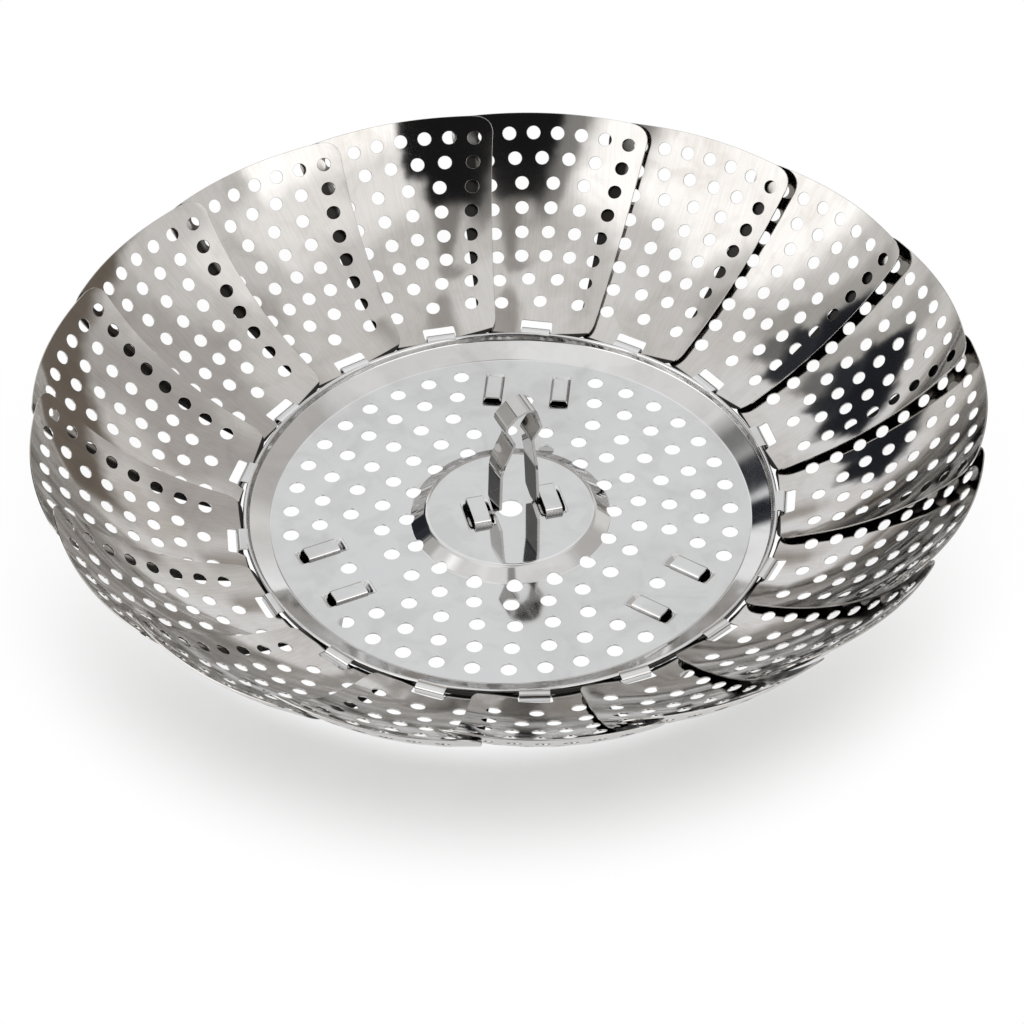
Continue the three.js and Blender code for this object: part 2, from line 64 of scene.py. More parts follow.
# %% [markdown]
# ## The camera
# The plate's holes lie on true circles, so a camera could be fitted to their centres in the photograph: a
# long lens a little over a metre away, looking down at 42 degrees, with a slight roll. Everything below
# is judged through it, so it comes first.

# %% Camera
PLATE_Z = 27.0  # top of the flat plate above the ground
CAMERA_ELEVATION = math.radians(42.3195)
CAMERA_DISTANCE = 1086.59
CAMERA_ROLL = math.radians(1.3788)
CAMERA_LENS = 145.70  # on a 36 mm wide sensor
CAMERA_SHIFT = (0.00141, 0.00302)


def add_object(name, data):
    obj = bpy.data.objects.new(name, data)
    bpy.context.scene.collection.objects.link(obj)
    return obj


def make_camera():
    data = bpy.data.cameras.new("photo_camera")
    data.lens = CAMERA_LENS
    data.shift_x, data.shift_y = CAMERA_SHIFT
    data.clip_end = 20
    camera = add_object("photo_camera", data)
    back = Vector((0, -math.cos(CAMERA_ELEVATION), math.sin(CAMERA_ELEVATION)))
    side = Vector((1, 0, 0))
    up = back.cross(side)
    right = side * math.cos(CAMERA_ROLL) - up * math.sin(CAMERA_ROLL)
    top = side * math.sin(CAMERA_ROLL) + up * math.cos(CAMERA_ROLL)
    place = Vector((0, 0, PLATE_Z)) + back * CAMERA_DISTANCE
    turned = Matrix((right, top, back)).transposed().to_4x4()
    camera.matrix_world = Matrix.Translation(place * MM) @ turned
    bpy.context.scene.camera = camera
    return camera


camera = make_camera()
print("camera at", [round(c, 3) for c in camera.location])

# %% [markdown]
# ## Shader sums as Python
# Steel needs a dozen small sums: noise times a share, one minus a mask. Wired by hand they hide the idea.
# This class wraps a socket, so that `0.1 + 0.05 * smudge` adds the Math nodes by itself.

# %% A socket that can be added and multiplied
class Value:
    def __init__(self, tree, socket):
        self.tree = tree
        self.socket = socket

    def sum_with(self, operation, other, swap=False):
        first, second = (other, self) if swap else (self, other)
        return self.node("ShaderNodeMath", {"operation": operation}, {0: first, 1: second})

    def node(self, *parts, **more):
        return add_node(self.tree, *parts, **more)

    def __add__(self, other):
        return self.sum_with("ADD", other)

    def __sub__(self, other):
        return self.sum_with("SUBTRACT", other)

    def __rsub__(self, other):
        return self.sum_with("SUBTRACT", other, True)

    def __mul__(self, other):
        return self.sum_with("MULTIPLY", other)

    __radd__ = __add__
    __rmul__ = __mul__

    def between(self, low, high, to_low=0.0, to_high=1.0):
        """A soft step: to_low below low, to_high above high."""
        values = {"Value": self, "From Min": low, "From Max": high, "To Min": to_low, "To Max": to_high}
        return self.node("ShaderNodeMapRange", {"interpolation_type": "SMOOTHSTEP"}, values)

    def within(self, low, high, soft):
        """1 from low to high and 0 outside, with soft ends."""
        return self.between(low - soft, low + soft) * self.between(high - soft, high + soft, 1, 0)

    def axes(self):
        split = self.node("ShaderNodeSeparateXYZ", {}, {"Vector": self}).socket.node
        return [Value(self.tree, split.outputs[i]) for i in range(3)]

    def mixed(self, low, high):
        """The colour low where this is 0, high where it is 1."""
        return self.node("ShaderNodeMix", {"data_type": "RGBA"}, {0: self, 6: low, 7: high}, out=2)


def add_node(tree, kind, settings=None, inputs=None, out=0):
    """Any node: its settings first, then the values or links of its sockets."""
    node = tree.nodes.new(kind)
    for name, value in (settings or {}).items():
        setattr(node, name, value)
    for key, value in (inputs or {}).items():
        socket = node.inputs[key]
        if isinstance(value, Value):
            tree.links.new(value.socket, socket)
        else:
            socket.default_value = value
    return Value(tree, node.outputs[out]) if node.outputs else None


def blank_material(name):
    material = bpy.data.materials.new(name)
    material.use_nodes = True
    material.node_tree.nodes.clear()
    return material, material.node_tree


print("sums from the right:", [name for name in vars(Value) if name.startswith("__r")])

# %% [markdown]
# ## Polished sheet steel
# New stainless sheet is a mirror that isn't quite flat. Three things show: the sheet waves a little, so
# reflections bend; rolling leaves a fine grain; and hands and cloths leave clouds where the gloss is
# softer. Each is a noise at its own size: the waves and the grain feed a Bump node, the clouds feed
# roughness and tint. Inside a tunnel, behind the rolled rim and under a neighbour's edge, shade is
# painted into the colour: the steel there is made nearly black and a little rougher.

# %% Steel
def cloud(coordinates, scale, detail=2.0, rough=0.5, distortion=0.0):
    inputs = {"Vector": coordinates, "Scale": scale, "Detail": detail}
    inputs.update({"Roughness": rough, "Distortion": distortion})
    return coordinates.node("ShaderNodeTexNoise", {"noise_dimensions": "3D"}, inputs)


def stretched(coordinates, scale):
    return coordinates.node("ShaderNodeMapping", {}, {"Vector": coordinates, "Scale": scale})


# Painted shade: the near-black colour put into the steel where shade falls, in tunnels, behind the rim and
# under a neighbour's edge
PAINTED_SHADE_COLOUR = (0.025, 0.024, 0.023, 1)
PAINTED_SHADE_ROUGH = 0.3  # what places of painted shade add to the roughness
# Where shade is painted on a petal: under a neighbour's edge, and along the hem behind the rim
COVER_FLARE = 0.127  # a neighbour's edge over a petal, on the flat map in mm
COVER_EDGE = (12.6, 14.4)
COVER_END = (52, 59)
HEM_EDGE = (-0.6, -0.3)


def tunnel_painted_shade(tree):
    """The plate carries its painted shade as a value on its points."""
    return add_node(tree, "ShaderNodeAttribute", {"attribute_name": "painted_shade"}, out="Fac")


def petal_painted_shade(tree):
    """Painted shade on a petal's inner face: the strip under the neighbour's edge, and the hem behind the
    rim.
    """
    flat = add_node(tree, "ShaderNodeTexCoord", out="UV")
    across, along = (axis * (1 / MM) for axis in flat.axes()[:2])
    covered = (across - COVER_FLARE * along).between(*COVER_EDGE) * along.between(*COVER_END, 1, 0)
    hem = along.between(*HEM_EDGE, 1, 0)
    return covered.sum_with("MAXIMUM", hem)


def steel(
    name, tint, stain, gloss, haze, waves, ripple, grain, grain_map,
    grain_from="Object", painted_shade_mask=None, brush=0.0,
):
    """tint, stain: plain and clouded colour. gloss: roughness, haze: what clouds add.
    waves, ripple, grain: heights in mm of bumps some 40 mm, 12 mm and well under 1 mm long.
    painted_shade_mask: a function that gives the mask of painted shade, nearly black in the colour.
    brush: how far the grain shows in the colour."""
    material, tree = blank_material(name)
    place = add_node(tree, "ShaderNodeTexCoord", out="Object")
    follow = add_node(tree, "ShaderNodeTexCoord", out=grain_from)
    sheen = cloud(place, scale=30, detail=4, rough=0.6, distortion=0.6)
    smear = cloud(place, scale=90, detail=3, rough=0.55, distortion=0.8)
    streak = cloud(stretched(follow, grain_map), scale=1, detail=3, rough=0.6)
    mask = sheen.between(0.45, 0.68)
    rough = gloss + haze * mask * smear + 0.4 * haze * streak
    brushed = brush * streak.between(0.4, 0.65)
    clouds = 0.4 * mask + 0.45 * smear.between(0.44, 0.7) + brushed
    colour = clouds.mixed(tint, stain)
    # Painted shade: where the mask is 1 the colour turns nearly black and the steel a little rougher
    if painted_shade_mask:
        painted_shade = painted_shade_mask(tree)
        rough = rough + PAINTED_SHADE_ROUGH * painted_shade
        colour = painted_shade.mixed(colour, PAINTED_SHADE_COLOUR)
    wave = cloud(place, scale=25, detail=1, rough=0.4)
    small_wave = cloud(place, scale=80, detail=2, rough=0.45)
    height = waves * wave + ripple * small_wave + grain * streak
    bump = place.node("ShaderNodeBump", {}, {"Strength": 1.0, "Distance": MM, "Height": height})
    shader = place.node(
        "ShaderNodeBsdfPrincipled",
        {"distribution": "MULTI_GGX"},
        {"Base Color": colour, "Metallic": 1.0, "Roughness": rough, "Normal": bump},
    )
    place.node("ShaderNodeOutputMaterial", {}, {"Surface": shader})
    return material


PLATE_STEEL = steel(
    "plate_steel", tint=(0.565, 0.565, 0.565, 1), stain=(0.465, 0.462, 0.457, 1), gloss=0.03, haze=0.08,
    waves=0.05, ripple=0.014, grain=0.0001, grain_map=(900, 60, 60), painted_shade_mask=tunnel_painted_shade,
)
PETAL_STEEL = steel(
    "petal_steel", tint=(0.483, 0.472, 0.459, 1), stain=(0.371, 0.353, 0.333, 1), gloss=0.05, haze=0.09,
    waves=0.20, ripple=0.045, grain=0.0005, grain_map=(1500, 90, 90), grain_from="UV", painted_shade_mask=petal_painted_shade,
    brush=0.22,
)
STRIP_STEEL = steel(
    "strip_steel", tint=(0.43, 0.427, 0.418, 1), stain=(0.362, 0.355, 0.345, 1), gloss=0.025, haze=0.05,
    waves=0.02, ripple=0.01, grain=0.0004, grain_map=(700, 700, 60),
)
WIRE_STEEL = steel(
    "wire_steel", tint=(0.405, 0.40, 0.392, 1), stain=(0.336, 0.326, 0.31, 1), gloss=0.22, haze=0.15,
    waves=0.01, ripple=0.01, grain=0.0015, grain_map=(400, 400, 400),
)
SLOT_STEEL = {"plate": PLATE_STEEL, "petal": PETAL_STEEL, "strip": STRIP_STEEL, "pin": WIRE_STEEL}
print("finishes:", sorted(SLOT_STEEL))

# %% [markdown]
# ## Paths with round corners
# Almost every edge here is a straight run with a bend of known radius: the handle's loop, the legs, the
# border. One helper turns a list of corners, each with its radius, into points. A second one adds points
# to long runs, because a bent blank needs them.

# %% Rounded and evenly spaced paths
def rounded(corners, closed=False, steps=8):
    points = []
    count = len(corners)
    for i, (x, y, radius) in enumerate(corners):
        at = np.array([x, y], float)
        if radius == 0 or (not closed and i in (0, count - 1)):
            points.append(at)
            continue
        back = np.array(corners[i - 1][:2], float) - at
        ahead = np.array(corners[(i + 1) % count][:2], float) - at
        reach = 0.49 * min(np.hypot(*back), np.hypot(*ahead))
        back /= np.hypot(*back)
        ahead /= np.hypot(*ahead)
        half = math.acos(np.clip(back @ ahead, -1, 1)) / 2
        run = min(radius / math.tan(half), reach)
        radius = run * math.tan(half)
        middle = (back + ahead) / np.hypot(*(back + ahead))
        centre = at + middle * math.hypot(radius, run)
        start, end = at + back * run - centre, at + ahead * run - centre
        a = math.atan2(start[1], start[0])
        turn = (math.atan2(end[1], end[0]) - a + math.pi) % (2 * math.pi) - math.pi
        for angle in np.linspace(a, a + turn, steps + 1):
            points.append(centre + radius * np.array([math.cos(angle), math.sin(angle)]))
    return np.array(points)


def spaced(points, step, closed=True):
    """The same path with no run longer than step."""
    out = []
    last = len(points) if closed else len(points) - 1
    for i in range(last):
        a, b = points[i], points[(i + 1) % len(points)]
        n = max(1, math.ceil(np.hypot(*(b - a)) / step - 1e-6))
        out += [a + (b - a) * k / n for k in range(n)]
    if not closed:
        out.append(points[-1])
    return np.array(out)


def arc(radius, turn, centre=(0, 0)):
    return np.stack([centre[0] + radius * np.cos(turn), centre[1] + radius * np.sin(turn)], -1)


def circle(radius, count, centre=(0, 0), phase=0.0):
    return arc(radius, phase + np.arange(count) * 2 * math.pi / count, centre)


print("points of a rounded corner:", len(rounded([(0, 0, 0), (4, 0, 1), (4, 4, 0)])) - 2)

# %% [markdown]
# ## The blank and its punch
# A blank is an outline, a few cut-outs and a list of hole centres. Cutting each hole with a boolean would
# be slow and leave ragged faces. Geometry Nodes do it in one go: a circle on every loose point, joined
# with the outlines, and Fill Curve lays the faces between them. The tree's inputs are the punch's sizes
# and the steel.

# %% The punch as a node tree
def make_punch():
    tree = bpy.data.node_groups.new("punched_blank", "GeometryNodeTree")
    kinds = {"Outline": "Geometry", "Hole radius": "Float", "Hole sides": "Int", "Steel": "Material"}
    inputs = {}
    for name, kind in kinds.items():
        socket = tree.interface.new_socket(name, in_out="INPUT", socket_type="NodeSocket" + kind)
        inputs[name] = socket.identifier
    tree.interface.new_socket("Blank", in_out="OUTPUT", socket_type="NodeSocketGeometry")
    given = tree.nodes.new("NodeGroupInput")

    def node(kind, *links, **settings):
        """A link gives another node, its output and the input that it feeds."""
        made = tree.nodes.new(kind)
        for name, value in settings.items():
            setattr(made, name, value)
        for source, out, into in links:
            tree.links.new(source.outputs[out], made.inputs[into])
        return made

    near = node("GeometryNodeInputMeshVertexNeighbors")
    loose = node("FunctionNodeCompare", (near, "Vertex Count", 2), data_type="INT", operation="EQUAL")
    parts = (given, "Outline", "Geometry"), (loose, "Result", "Selection")
    split = node("GeometryNodeSeparateGeometry", *parts, domain="POINT")
    centres = node("GeometryNodeMeshToPoints", (split, "Selection", 0))
    sizes = (given, "Hole sides", "Resolution"), (given, "Hole radius", "Radius")
    ring = node("GeometryNodeCurvePrimitiveCircle", *sizes, mode="RADIUS")
    rings = node("GeometryNodeInstanceOnPoints", (centres, 0, "Points"), (ring, 0, "Instance"))
    outlines = node("GeometryNodeMeshToCurve", (split, "Inverted", 0))
    both = node("GeometryNodeJoinGeometry", (rings, 0, 0), (outlines, 0, 0))
    loops = node("GeometryNodeRealizeInstances", (both, 0, 0))
    fill = node("GeometryNodeFillCurve", (loops, 0, 0))
    real = node("GeometryNodeRealizeInstances", (fill, 0, 0))
    coat = node("GeometryNodeSetMaterial", (real, 0, 0), (given, "Steel", "Material"))
    node("NodeGroupOutput", (coat, 0, 0))
    return tree, inputs


PUNCH, PUNCH_INPUTS = make_punch()


def punched(name, loops, centres=(), radius=1.0, sides=20):
    """The flat blank: points (n, 2) and faces that run counter-clockwise."""
    points = [p for loop in loops for p in loop]
    edges = []
    start = 0
    for loop in loops:
        edges += [(start + i, start + (i + 1) % len(loop)) for i in range(len(loop))]
        start += len(loop)
    points += list(centres)
    outline = bpy.data.meshes.new(name)
    outline.from_pydata([(p[0], p[1], 0) for p in points], edges, [])
    obj = add_object(name, outline)
    punch = obj.modifiers.new("punch", "NODES")
    punch.node_group = PUNCH
    for key, value in {"Hole radius": radius, "Hole sides": sides, "Steel": PLATE_STEEL}.items():
        punch[PUNCH_INPUTS[key]] = value
    seen = obj.evaluated_get(bpy.context.evaluated_depsgraph_get())
    flat = bpy.data.meshes.new_from_object(seen)
    obj.modifiers.remove(punch)
    bpy.data.objects.remove(obj)
    bpy.data.meshes.remove(outline)
    spots = np.array([v.co[:2] for v in flat.vertices], float)
    faces = [list(p.vertices) for p in flat.polygons]
    bpy.data.meshes.remove(flat)
    a, b, c = (spots[[f[i] for f in faces]] for i in range(3))
    turn = (b - a)[:, 0] * (c - a)[:, 1] - (b - a)[:, 1] * (c - a)[:, 0]
    faces = [f if t > 0 else f[::-1] for f, t in zip(faces, turn)]
    return spots, faces


print("punch inputs:", list(PUNCH_INPUTS))

# %% [markdown]
# ## The press
# Pressing gives the flat blank its place in space and its thickness. A formula says where a flat point
# goes, and how a point above or below the sheet follows. Cut edges get a narrow rounding: the two faces
# stop short of the edge, and the normals turn between face and wall, so that every hole catches light on
# its rim. Exact normals keep reflections smooth on few faces.

# %% Shells: points, normals and faces of one piece
EDGE = 0.1  # rounding of cut sheet edges
NUDGE = 0.02  # a short step on the flat map, to take a slope
POINT_KEYS, NORMAL_KEYS = 2000, 20  # steps per mm and per unit within which points are one
UNDERSIDE = (1000, 0)  # how far the under face lies from the upper one on the flat map


def unit(vectors):
    return vectors / np.maximum(np.linalg.norm(vectors, axis=1, keepdims=True), 1e-12)


class Shell:
    def __init__(self):
        self.points, self.normals, self.flat, self.painted_shade, self.faces = [], [], [], [], []
        self.count = 0

    def add(self, points, normals, flat, faces):
        """Faces are turned as a whole if they run against the normals."""
        a, b, c = (points[[f[i] for f in faces]] for i in range(3))
        outside = np.cross(b - a, c - a)
        if np.sum(outside * normals[[f[0] for f in faces]]) < 0:
            faces = [f[::-1] for f in faces]
        self.faces += [[i + self.count for i in f] for f in faces]
        self.points.append(points)
        self.normals.append(normals)
        self.flat.append(flat)
        # Points start with no painted shade
        self.painted_shade.append(np.zeros(len(points)))
        self.count += len(points)

    def moved(self, matrix):
        turn = np.array(matrix.to_3x3())
        shift = np.array(matrix.translation)
        other = Shell()
        other.faces, other.count, other.flat, other.painted_shade = self.faces, self.count, self.flat, self.painted_shade
        other.points = [p @ turn.T + shift for p in self.points]
        other.normals = [n @ turn.T for n in self.normals]
        return other

    def take(self, other):
        self.faces += [[i + self.count for i in f] for f in other.faces]
        self.points += other.points
        self.normals += other.normals
        self.flat += other.flat
        self.painted_shade += other.painted_shade
        self.count += other.count

    def with_painted_shade(self, where):
        """Marks for painted shade the points for which where(points, normals) is true."""
        self.painted_shade = [where(p, n).astype(float) for p, n in zip(self.points, self.normals)]
        return self


def press(blank, place, thickness, joined=None):
    """place(flat points, lift) gives points in space, joined(flat points) marks edges without a wall."""
    spots, faces = blank
    ways = {(f[i - 1], f[i]) for f in faces for i in range(len(f))}
    rim = [(a, b) for a, b in ways if (b, a) not in ways]
    if joined is not None:
        keep = ~joined((spots[[a for a, _ in rim]] + spots[[b for _, b in rim]]) / 2)
        rim = [way for way, kept in zip(rim, keep) if kept]
    out = np.zeros_like(spots)
    for a, b in rim:
        along = (spots[b] - spots[a]) / np.hypot(*(spots[b] - spots[a]))
        out[[a, b]] += (along[1], -along[0])
    edge = sorted({v for way in rim for v in way})
    out[edge] = unit(out[edge])
    inner = spots - EDGE * out
    half = thickness / 2
    normal = unit(place(inner, 1.0) - place(inner, -1.0))
    wall = unit(place(spots[edge] + NUDGE * out[edge], 0.0) - place(spots[edge], 0.0))
    n, m = len(spots), len(edge)
    at = {v: i for i, v in enumerate(edge)}
    levels = (inner, half), (inner, -half), (spots[edge], half - EDGE), (spots[edge], EDGE - half)
    points = np.vstack([place(*level) for level in levels])
    quads = list(faces) + [[i + n for i in f[::-1]] for f in faces]
    for a, b in rim:
        high_a, high_b = 2 * n + at[a], 2 * n + at[b]
        quads.append([b, a, high_a, high_b])
        quads.append([high_b, high_a, high_a + m, high_b + m])
        quads.append([high_b + m, high_a + m, a + n, b + n])
    shell = Shell()
    normals = np.vstack([normal, -normal, wall, wall])
    flat = np.vstack([spots, spots - UNDERSIDE, spots[edge], spots[edge]])
    shell.add(points, normals, flat, quads)
    return shell


def strip(path, half, thickness, rounding=EDGE):
    """A flat bar bent along path, a list of (x, z). half is its half width along y, at each point or all."""
    path = np.array(path, float)
    half = np.broadcast_to(np.asarray(half, float), (len(path),))
    run = unit(np.gradient(path, axis=0))
    side = np.column_stack([-run[:, 1], run[:, 0]])
    h = thickness / 2
    section = []
    for y, lift in ((1, 1), (1, -1), (-1, -1), (-1, 1)):
        flat_point = (y, -rounding, lift * h, 0, lift)
        wall_point = (y, 0, lift * (h - rounding), y, 0)
        section += [flat_point, wall_point] if y * lift > 0 else [wall_point, flat_point]
    points, normals, flat = [], [], []
    length = np.concatenate([[0], np.cumsum(np.hypot(*np.diff(path, axis=0).T))])
    for y, trim, lift, turn_y, turn_z in section:
        across = y * (half + trim)
        at = path + side * lift
        level = np.full(len(path), turn_y)
        points.append(np.column_stack([at[:, 0], across, at[:, 1]]))
        normals.append(np.column_stack([side[:, 0] * turn_z, level, side[:, 1] * turn_z]))
        flat.append(np.column_stack([across, length]))
    n, k = len(path), len(section)
    faces = []
    for j in range(k):
        a, b = j * n, ((j + 1) % k) * n
        faces += [[a + i, a + i + 1, b + i + 1, b + i] for i in range(n - 1)]
    shell = Shell()
    shell.add(np.vstack(points), np.vstack(normals), np.vstack(flat), faces)
    for end, way in ((0, -1), (n - 1, 1)):
        ring = np.array([p[end] for p in points])
        out = way * np.array([run[end, 0], 0, run[end, 1]])
        shell.add(ring, np.tile(out, (k, 1)), np.array([f[end] for f in flat]), [list(range(k))])
    return shell


def turned(profile, sides):
    """A profile of (radius, z) points spun round z, with the profile's right-hand side outside."""
    profile = np.array(profile, float)
    run = unit(np.gradient(profile, axis=0))
    side = np.column_stack([run[:, 1], -run[:, 0]])
    spin = np.arange(sides) * 2 * math.pi / sides
    c, s = np.cos(spin)[:, None], np.sin(spin)[:, None]

    def spun(pairs):
        columns = [c * pairs[:, 0], s * pairs[:, 0], np.ones_like(c) * pairs[:, 1]]
        return np.stack(columns, -1).reshape(-1, 3)

    n = len(profile)
    points = spun(profile)
    faces = []
    for j in range(sides):
        a, b = j * n, (j + 1) % sides * n
        faces += [[a + i, b + i, b + i + 1, a + i + 1] for i in range(n - 1)]
    shell = Shell()
    shell.add(points, spun(side), points[:, :2], faces)
    return shell


def facing(degrees):
    """From a piece's own frame, x outwards and z = 0 on the plate, to the basket's."""
    return Matrix.Translation((0, 0, PLATE_Z)) @ Matrix.Rotation(math.radians(degrees), 4, "Z")


def finish_piece(name, shell, body, nodes, slot):
    """The shell as an object in metres that rides on a body and stands for its CAD nodes."""
    points = np.vstack(shell.points)
    normals = unit(np.vstack(shell.normals))
    flat = np.vstack(shell.flat)
    keys = np.round(np.hstack([points * POINT_KEYS, normals * NORMAL_KEYS])).astype(np.int64)
    _, first, back = np.unique(keys, axis=0, return_index=True, return_inverse=True)
    back = back.reshape(-1)
    faces = [[int(back[i]) for i in f] for f in shell.faces]
    faces = [f for f in faces if len(set(f)) == len(f)]
    mesh = bpy.data.meshes.new(name)
    mesh.from_pydata((points[first] * MM).tolist(), [], faces)
    mesh.polygons.foreach_set("use_smooth", np.ones(len(mesh.polygons), bool))
    uv = mesh.uv_layers.new(name="flat")
    corners = np.zeros(len(mesh.loops), np.int32)
    mesh.loops.foreach_get("vertex_index", corners)
    uv.data.foreach_set("uv", (flat[first][corners] * MM).astype(np.float32).ravel())
    # The painted shade as a value on each point, which the plate's steel reads
    mark = mesh.attributes.new("painted_shade", "FLOAT", "POINT")
    mark.data.foreach_set("value", np.concatenate(shell.painted_shade)[first].astype(np.float32))
    mesh.normals_split_custom_set_from_vertices(normals[first].tolist())
    mesh.materials.append(SLOT_STEEL[slot])
    mesh.update()
    obj = add_object(name, mesh)
    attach(obj, body)
    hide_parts(*nodes)
    return obj


print("shells come from:", [maker.__name__ for maker in (press, strip, turned)])

# %% [markdown]
# ## The petals
# A petal is a fan-shaped leaf, curved along and across, with a slot that leaves a bar at its inner edge.
# The bar lies in a tongue of the plate. The curve across is lifted on one side, so that each petal's edge
# lies inside its neighbour, and the bar is a few degrees off square, so that the petals twist clear of
# each other as they fold.

# %% One petal
PETALS = 17
PETAL_DEG = 83.4  # direction of the first petal, then clockwise
HINGE_R = 71.0
HINGE_Z = 3.1
HINGE_SKEW = math.radians(4.5)
PETAL_SHEET = 0.4
PETAL_LENGTH = 64.36
PETAL_HALF = 15.5  # half width at the hinge
PETAL_FLARE = 0.206
PETAL_SLOPE = math.radians(19.8)
PETAL_STRAIGHT = 8.0
PETAL_BEND_R = 90.0
PETAL_CROSS_R = 90.0
PETAL_TILT = math.radians(2.45)
PETAL_RIM_R = 150.0
HEM = 0.65  # what the inner edge reaches under the rolled rim, beside the tongue
INNER_CORNER = 4.0
OUTER_CORNER = 6.5
PETAL_HOLE_R = 1.85
ROW_COUNTS = (3, 4, 5, 5, 5, 5, 6, 7)
FIRST_ROW, ROW_PITCH = 10.1, 6.97
ROW_CENTRE = 35  # rows curve round a point this far inside the hinge
LEFT_MARGIN, LEFT_CREEP = 6.7, 0.024
RIGHT_MARGIN, RIGHT_CREEP = 7.3, 0.044
BAR_HALF = 0.43
BAR_REACH = 5  # half of the inner edge that runs along the hinge
SWEEP_R = 45  # of the inner edge beside it
HEM_FROM, HEM_RUN = 4.6, 0.8
SLOT_HALF, SLOT_END = 4.3, 3.7


def petal_half(s):
    return PETAL_HALF + PETAL_FLARE * s


def hinge_line(t):
    return t * math.tan(HINGE_SKEW) / math.cos(PETAL_SLOPE)


def inner_edge(t):
    held = np.clip(t, -BAR_REACH, BAR_REACH)
    past = np.abs(t) - np.abs(held)
    sweep = np.where(t < 0, 0, -past * past / (2 * SWEEP_R))
    hem = HEM * np.clip((np.abs(t) - HEM_FROM) / HEM_RUN, 0, 1)
    return hinge_line(held) - BAR_HALF - hem + sweep


def outer_edge(t):
    return PETAL_LENGTH - t * t / (2 * PETAL_RIM_R)


def bend_corner(a, via, b, steps=9):
    k = np.linspace(0, 1, steps)[:-1, None]
    a, via, b = (np.array(p, float) for p in (a, via, b))
    return (1 - k) ** 2 * a + 2 * k * (1 - k) * via + k * k * b


def petal_outline():
    """Inner edge, right side, outer edge and left side, each followed by a round corner."""
    near, tip = petal_half(0), petal_half(PETAL_LENGTH)
    t_in, t_out = near - INNER_CORNER, tip - OUTER_CORNER
    s_out = outer_edge(tip) - OUTER_CORNER
    inner = lambda t: np.stack([t, inner_edge(t)], -1)
    outer = lambda t: np.stack([t, outer_edge(t)], -1)
    right = lambda s: np.stack([petal_half(s), s], -1)
    left = lambda s: np.stack([-petal_half(s), s], -1)
    runs = [
        inner(np.linspace(-t_in, t_in, 25)[:-1]),
        bend_corner(inner(t_in), (near, inner_edge(t_in)), right(INNER_CORNER)),
        right(np.linspace(INNER_CORNER, s_out, 33)[:-1]),
        bend_corner(right(s_out), (tip, outer_edge(tip)), outer(t_out)),
        outer(np.linspace(t_out, -t_out, 41)[:-1]),
        bend_corner(outer(-t_out), (-tip, outer_edge(tip)), left(s_out)),
        left(np.linspace(s_out, INNER_CORNER, 33)[:-1]),
        bend_corner(left(INNER_CORNER), (-near, inner_edge(-t_in)), inner(-t_in)),
    ]
    return np.vstack(runs)


def petal_slot():
    near = [(side * SLOT_HALF, BAR_HALF, 0.25) for side in (-1, 1)]
    far = [(side * SLOT_HALF, SLOT_END, 0.6) for side in (1, -1)]
    loop = spaced(rounded(near + far, closed=True, steps=4), 0.8)
    loop[:, 1] += hinge_line(loop[:, 0])
    return loop


def petal_centres():
    centres = []
    for row, count in enumerate(ROW_COUNTS):
        s = FIRST_ROW + ROW_PITCH * row
        low = LEFT_MARGIN - LEFT_CREEP * (s - FIRST_ROW) - petal_half(s)
        high = petal_half(s) - RIGHT_MARGIN - RIGHT_CREEP * (s - FIRST_ROW)
        for t in np.linspace(low, high, count):
            centres.append((t, s - t * t / (2 * (s + ROW_CENTRE))))
    return centres


def petal_place(spots, lift):
    t, s = spots[:, 0], spots[:, 1]
    slope = PETAL_SLOPE + np.maximum(s - PETAL_STRAIGHT, 0) / PETAL_BEND_R
    straight = np.minimum(s, PETAL_STRAIGHT)
    x = straight * math.cos(PETAL_SLOPE) + (np.sin(slope) - math.sin(PETAL_SLOPE)) * PETAL_BEND_R
    z = straight * math.sin(PETAL_SLOPE) + (math.cos(PETAL_SLOPE) - np.cos(slope)) * PETAL_BEND_R
    h = t * t / (2 * PETAL_CROSS_R) - math.tan(PETAL_TILT) * t
    lean = t / PETAL_CROSS_R - math.tan(PETAL_TILT)
    h = h + lift / np.sqrt(1 + lean * lean)
    across = t - lift * lean / np.sqrt(1 + lean * lean)
    return np.column_stack([HINGE_R + x - np.sin(slope) * h, across, HINGE_Z + z + np.cos(slope) * h])


petal_blank = punched("petal_blank", [petal_outline(), petal_slot()], petal_centres(), PETAL_HOLE_R)
petal_shell = press(petal_blank, petal_place, PETAL_SHEET)
for k in range(PETALS):
    label = "petal_%02d" % (k + 1)
    leaf = petal_shell.moved(facing(PETAL_DEG - k * 360 / PETALS))
    finish_piece(label + "_leaf", leaf, label, [label], "petal")
print("petal blank:", len(petal_blank[0]), "points,", len(petal_centres()), "holes")

# %% [markdown]
# ## The plate
# One pressing carries everything: a raised hub with a centre hole, five rings of holes, a sloping border
# with a rolled rim. The hub's flank and the border need close points, the flat parts need none. So the
# plate is made in rings that share their seams: hub top, flank, foot with the first holes, the flat, and
# a spun border. The first holes cut into the curved foot, so each gets a sector of its own, with rows of
# points round the hole.

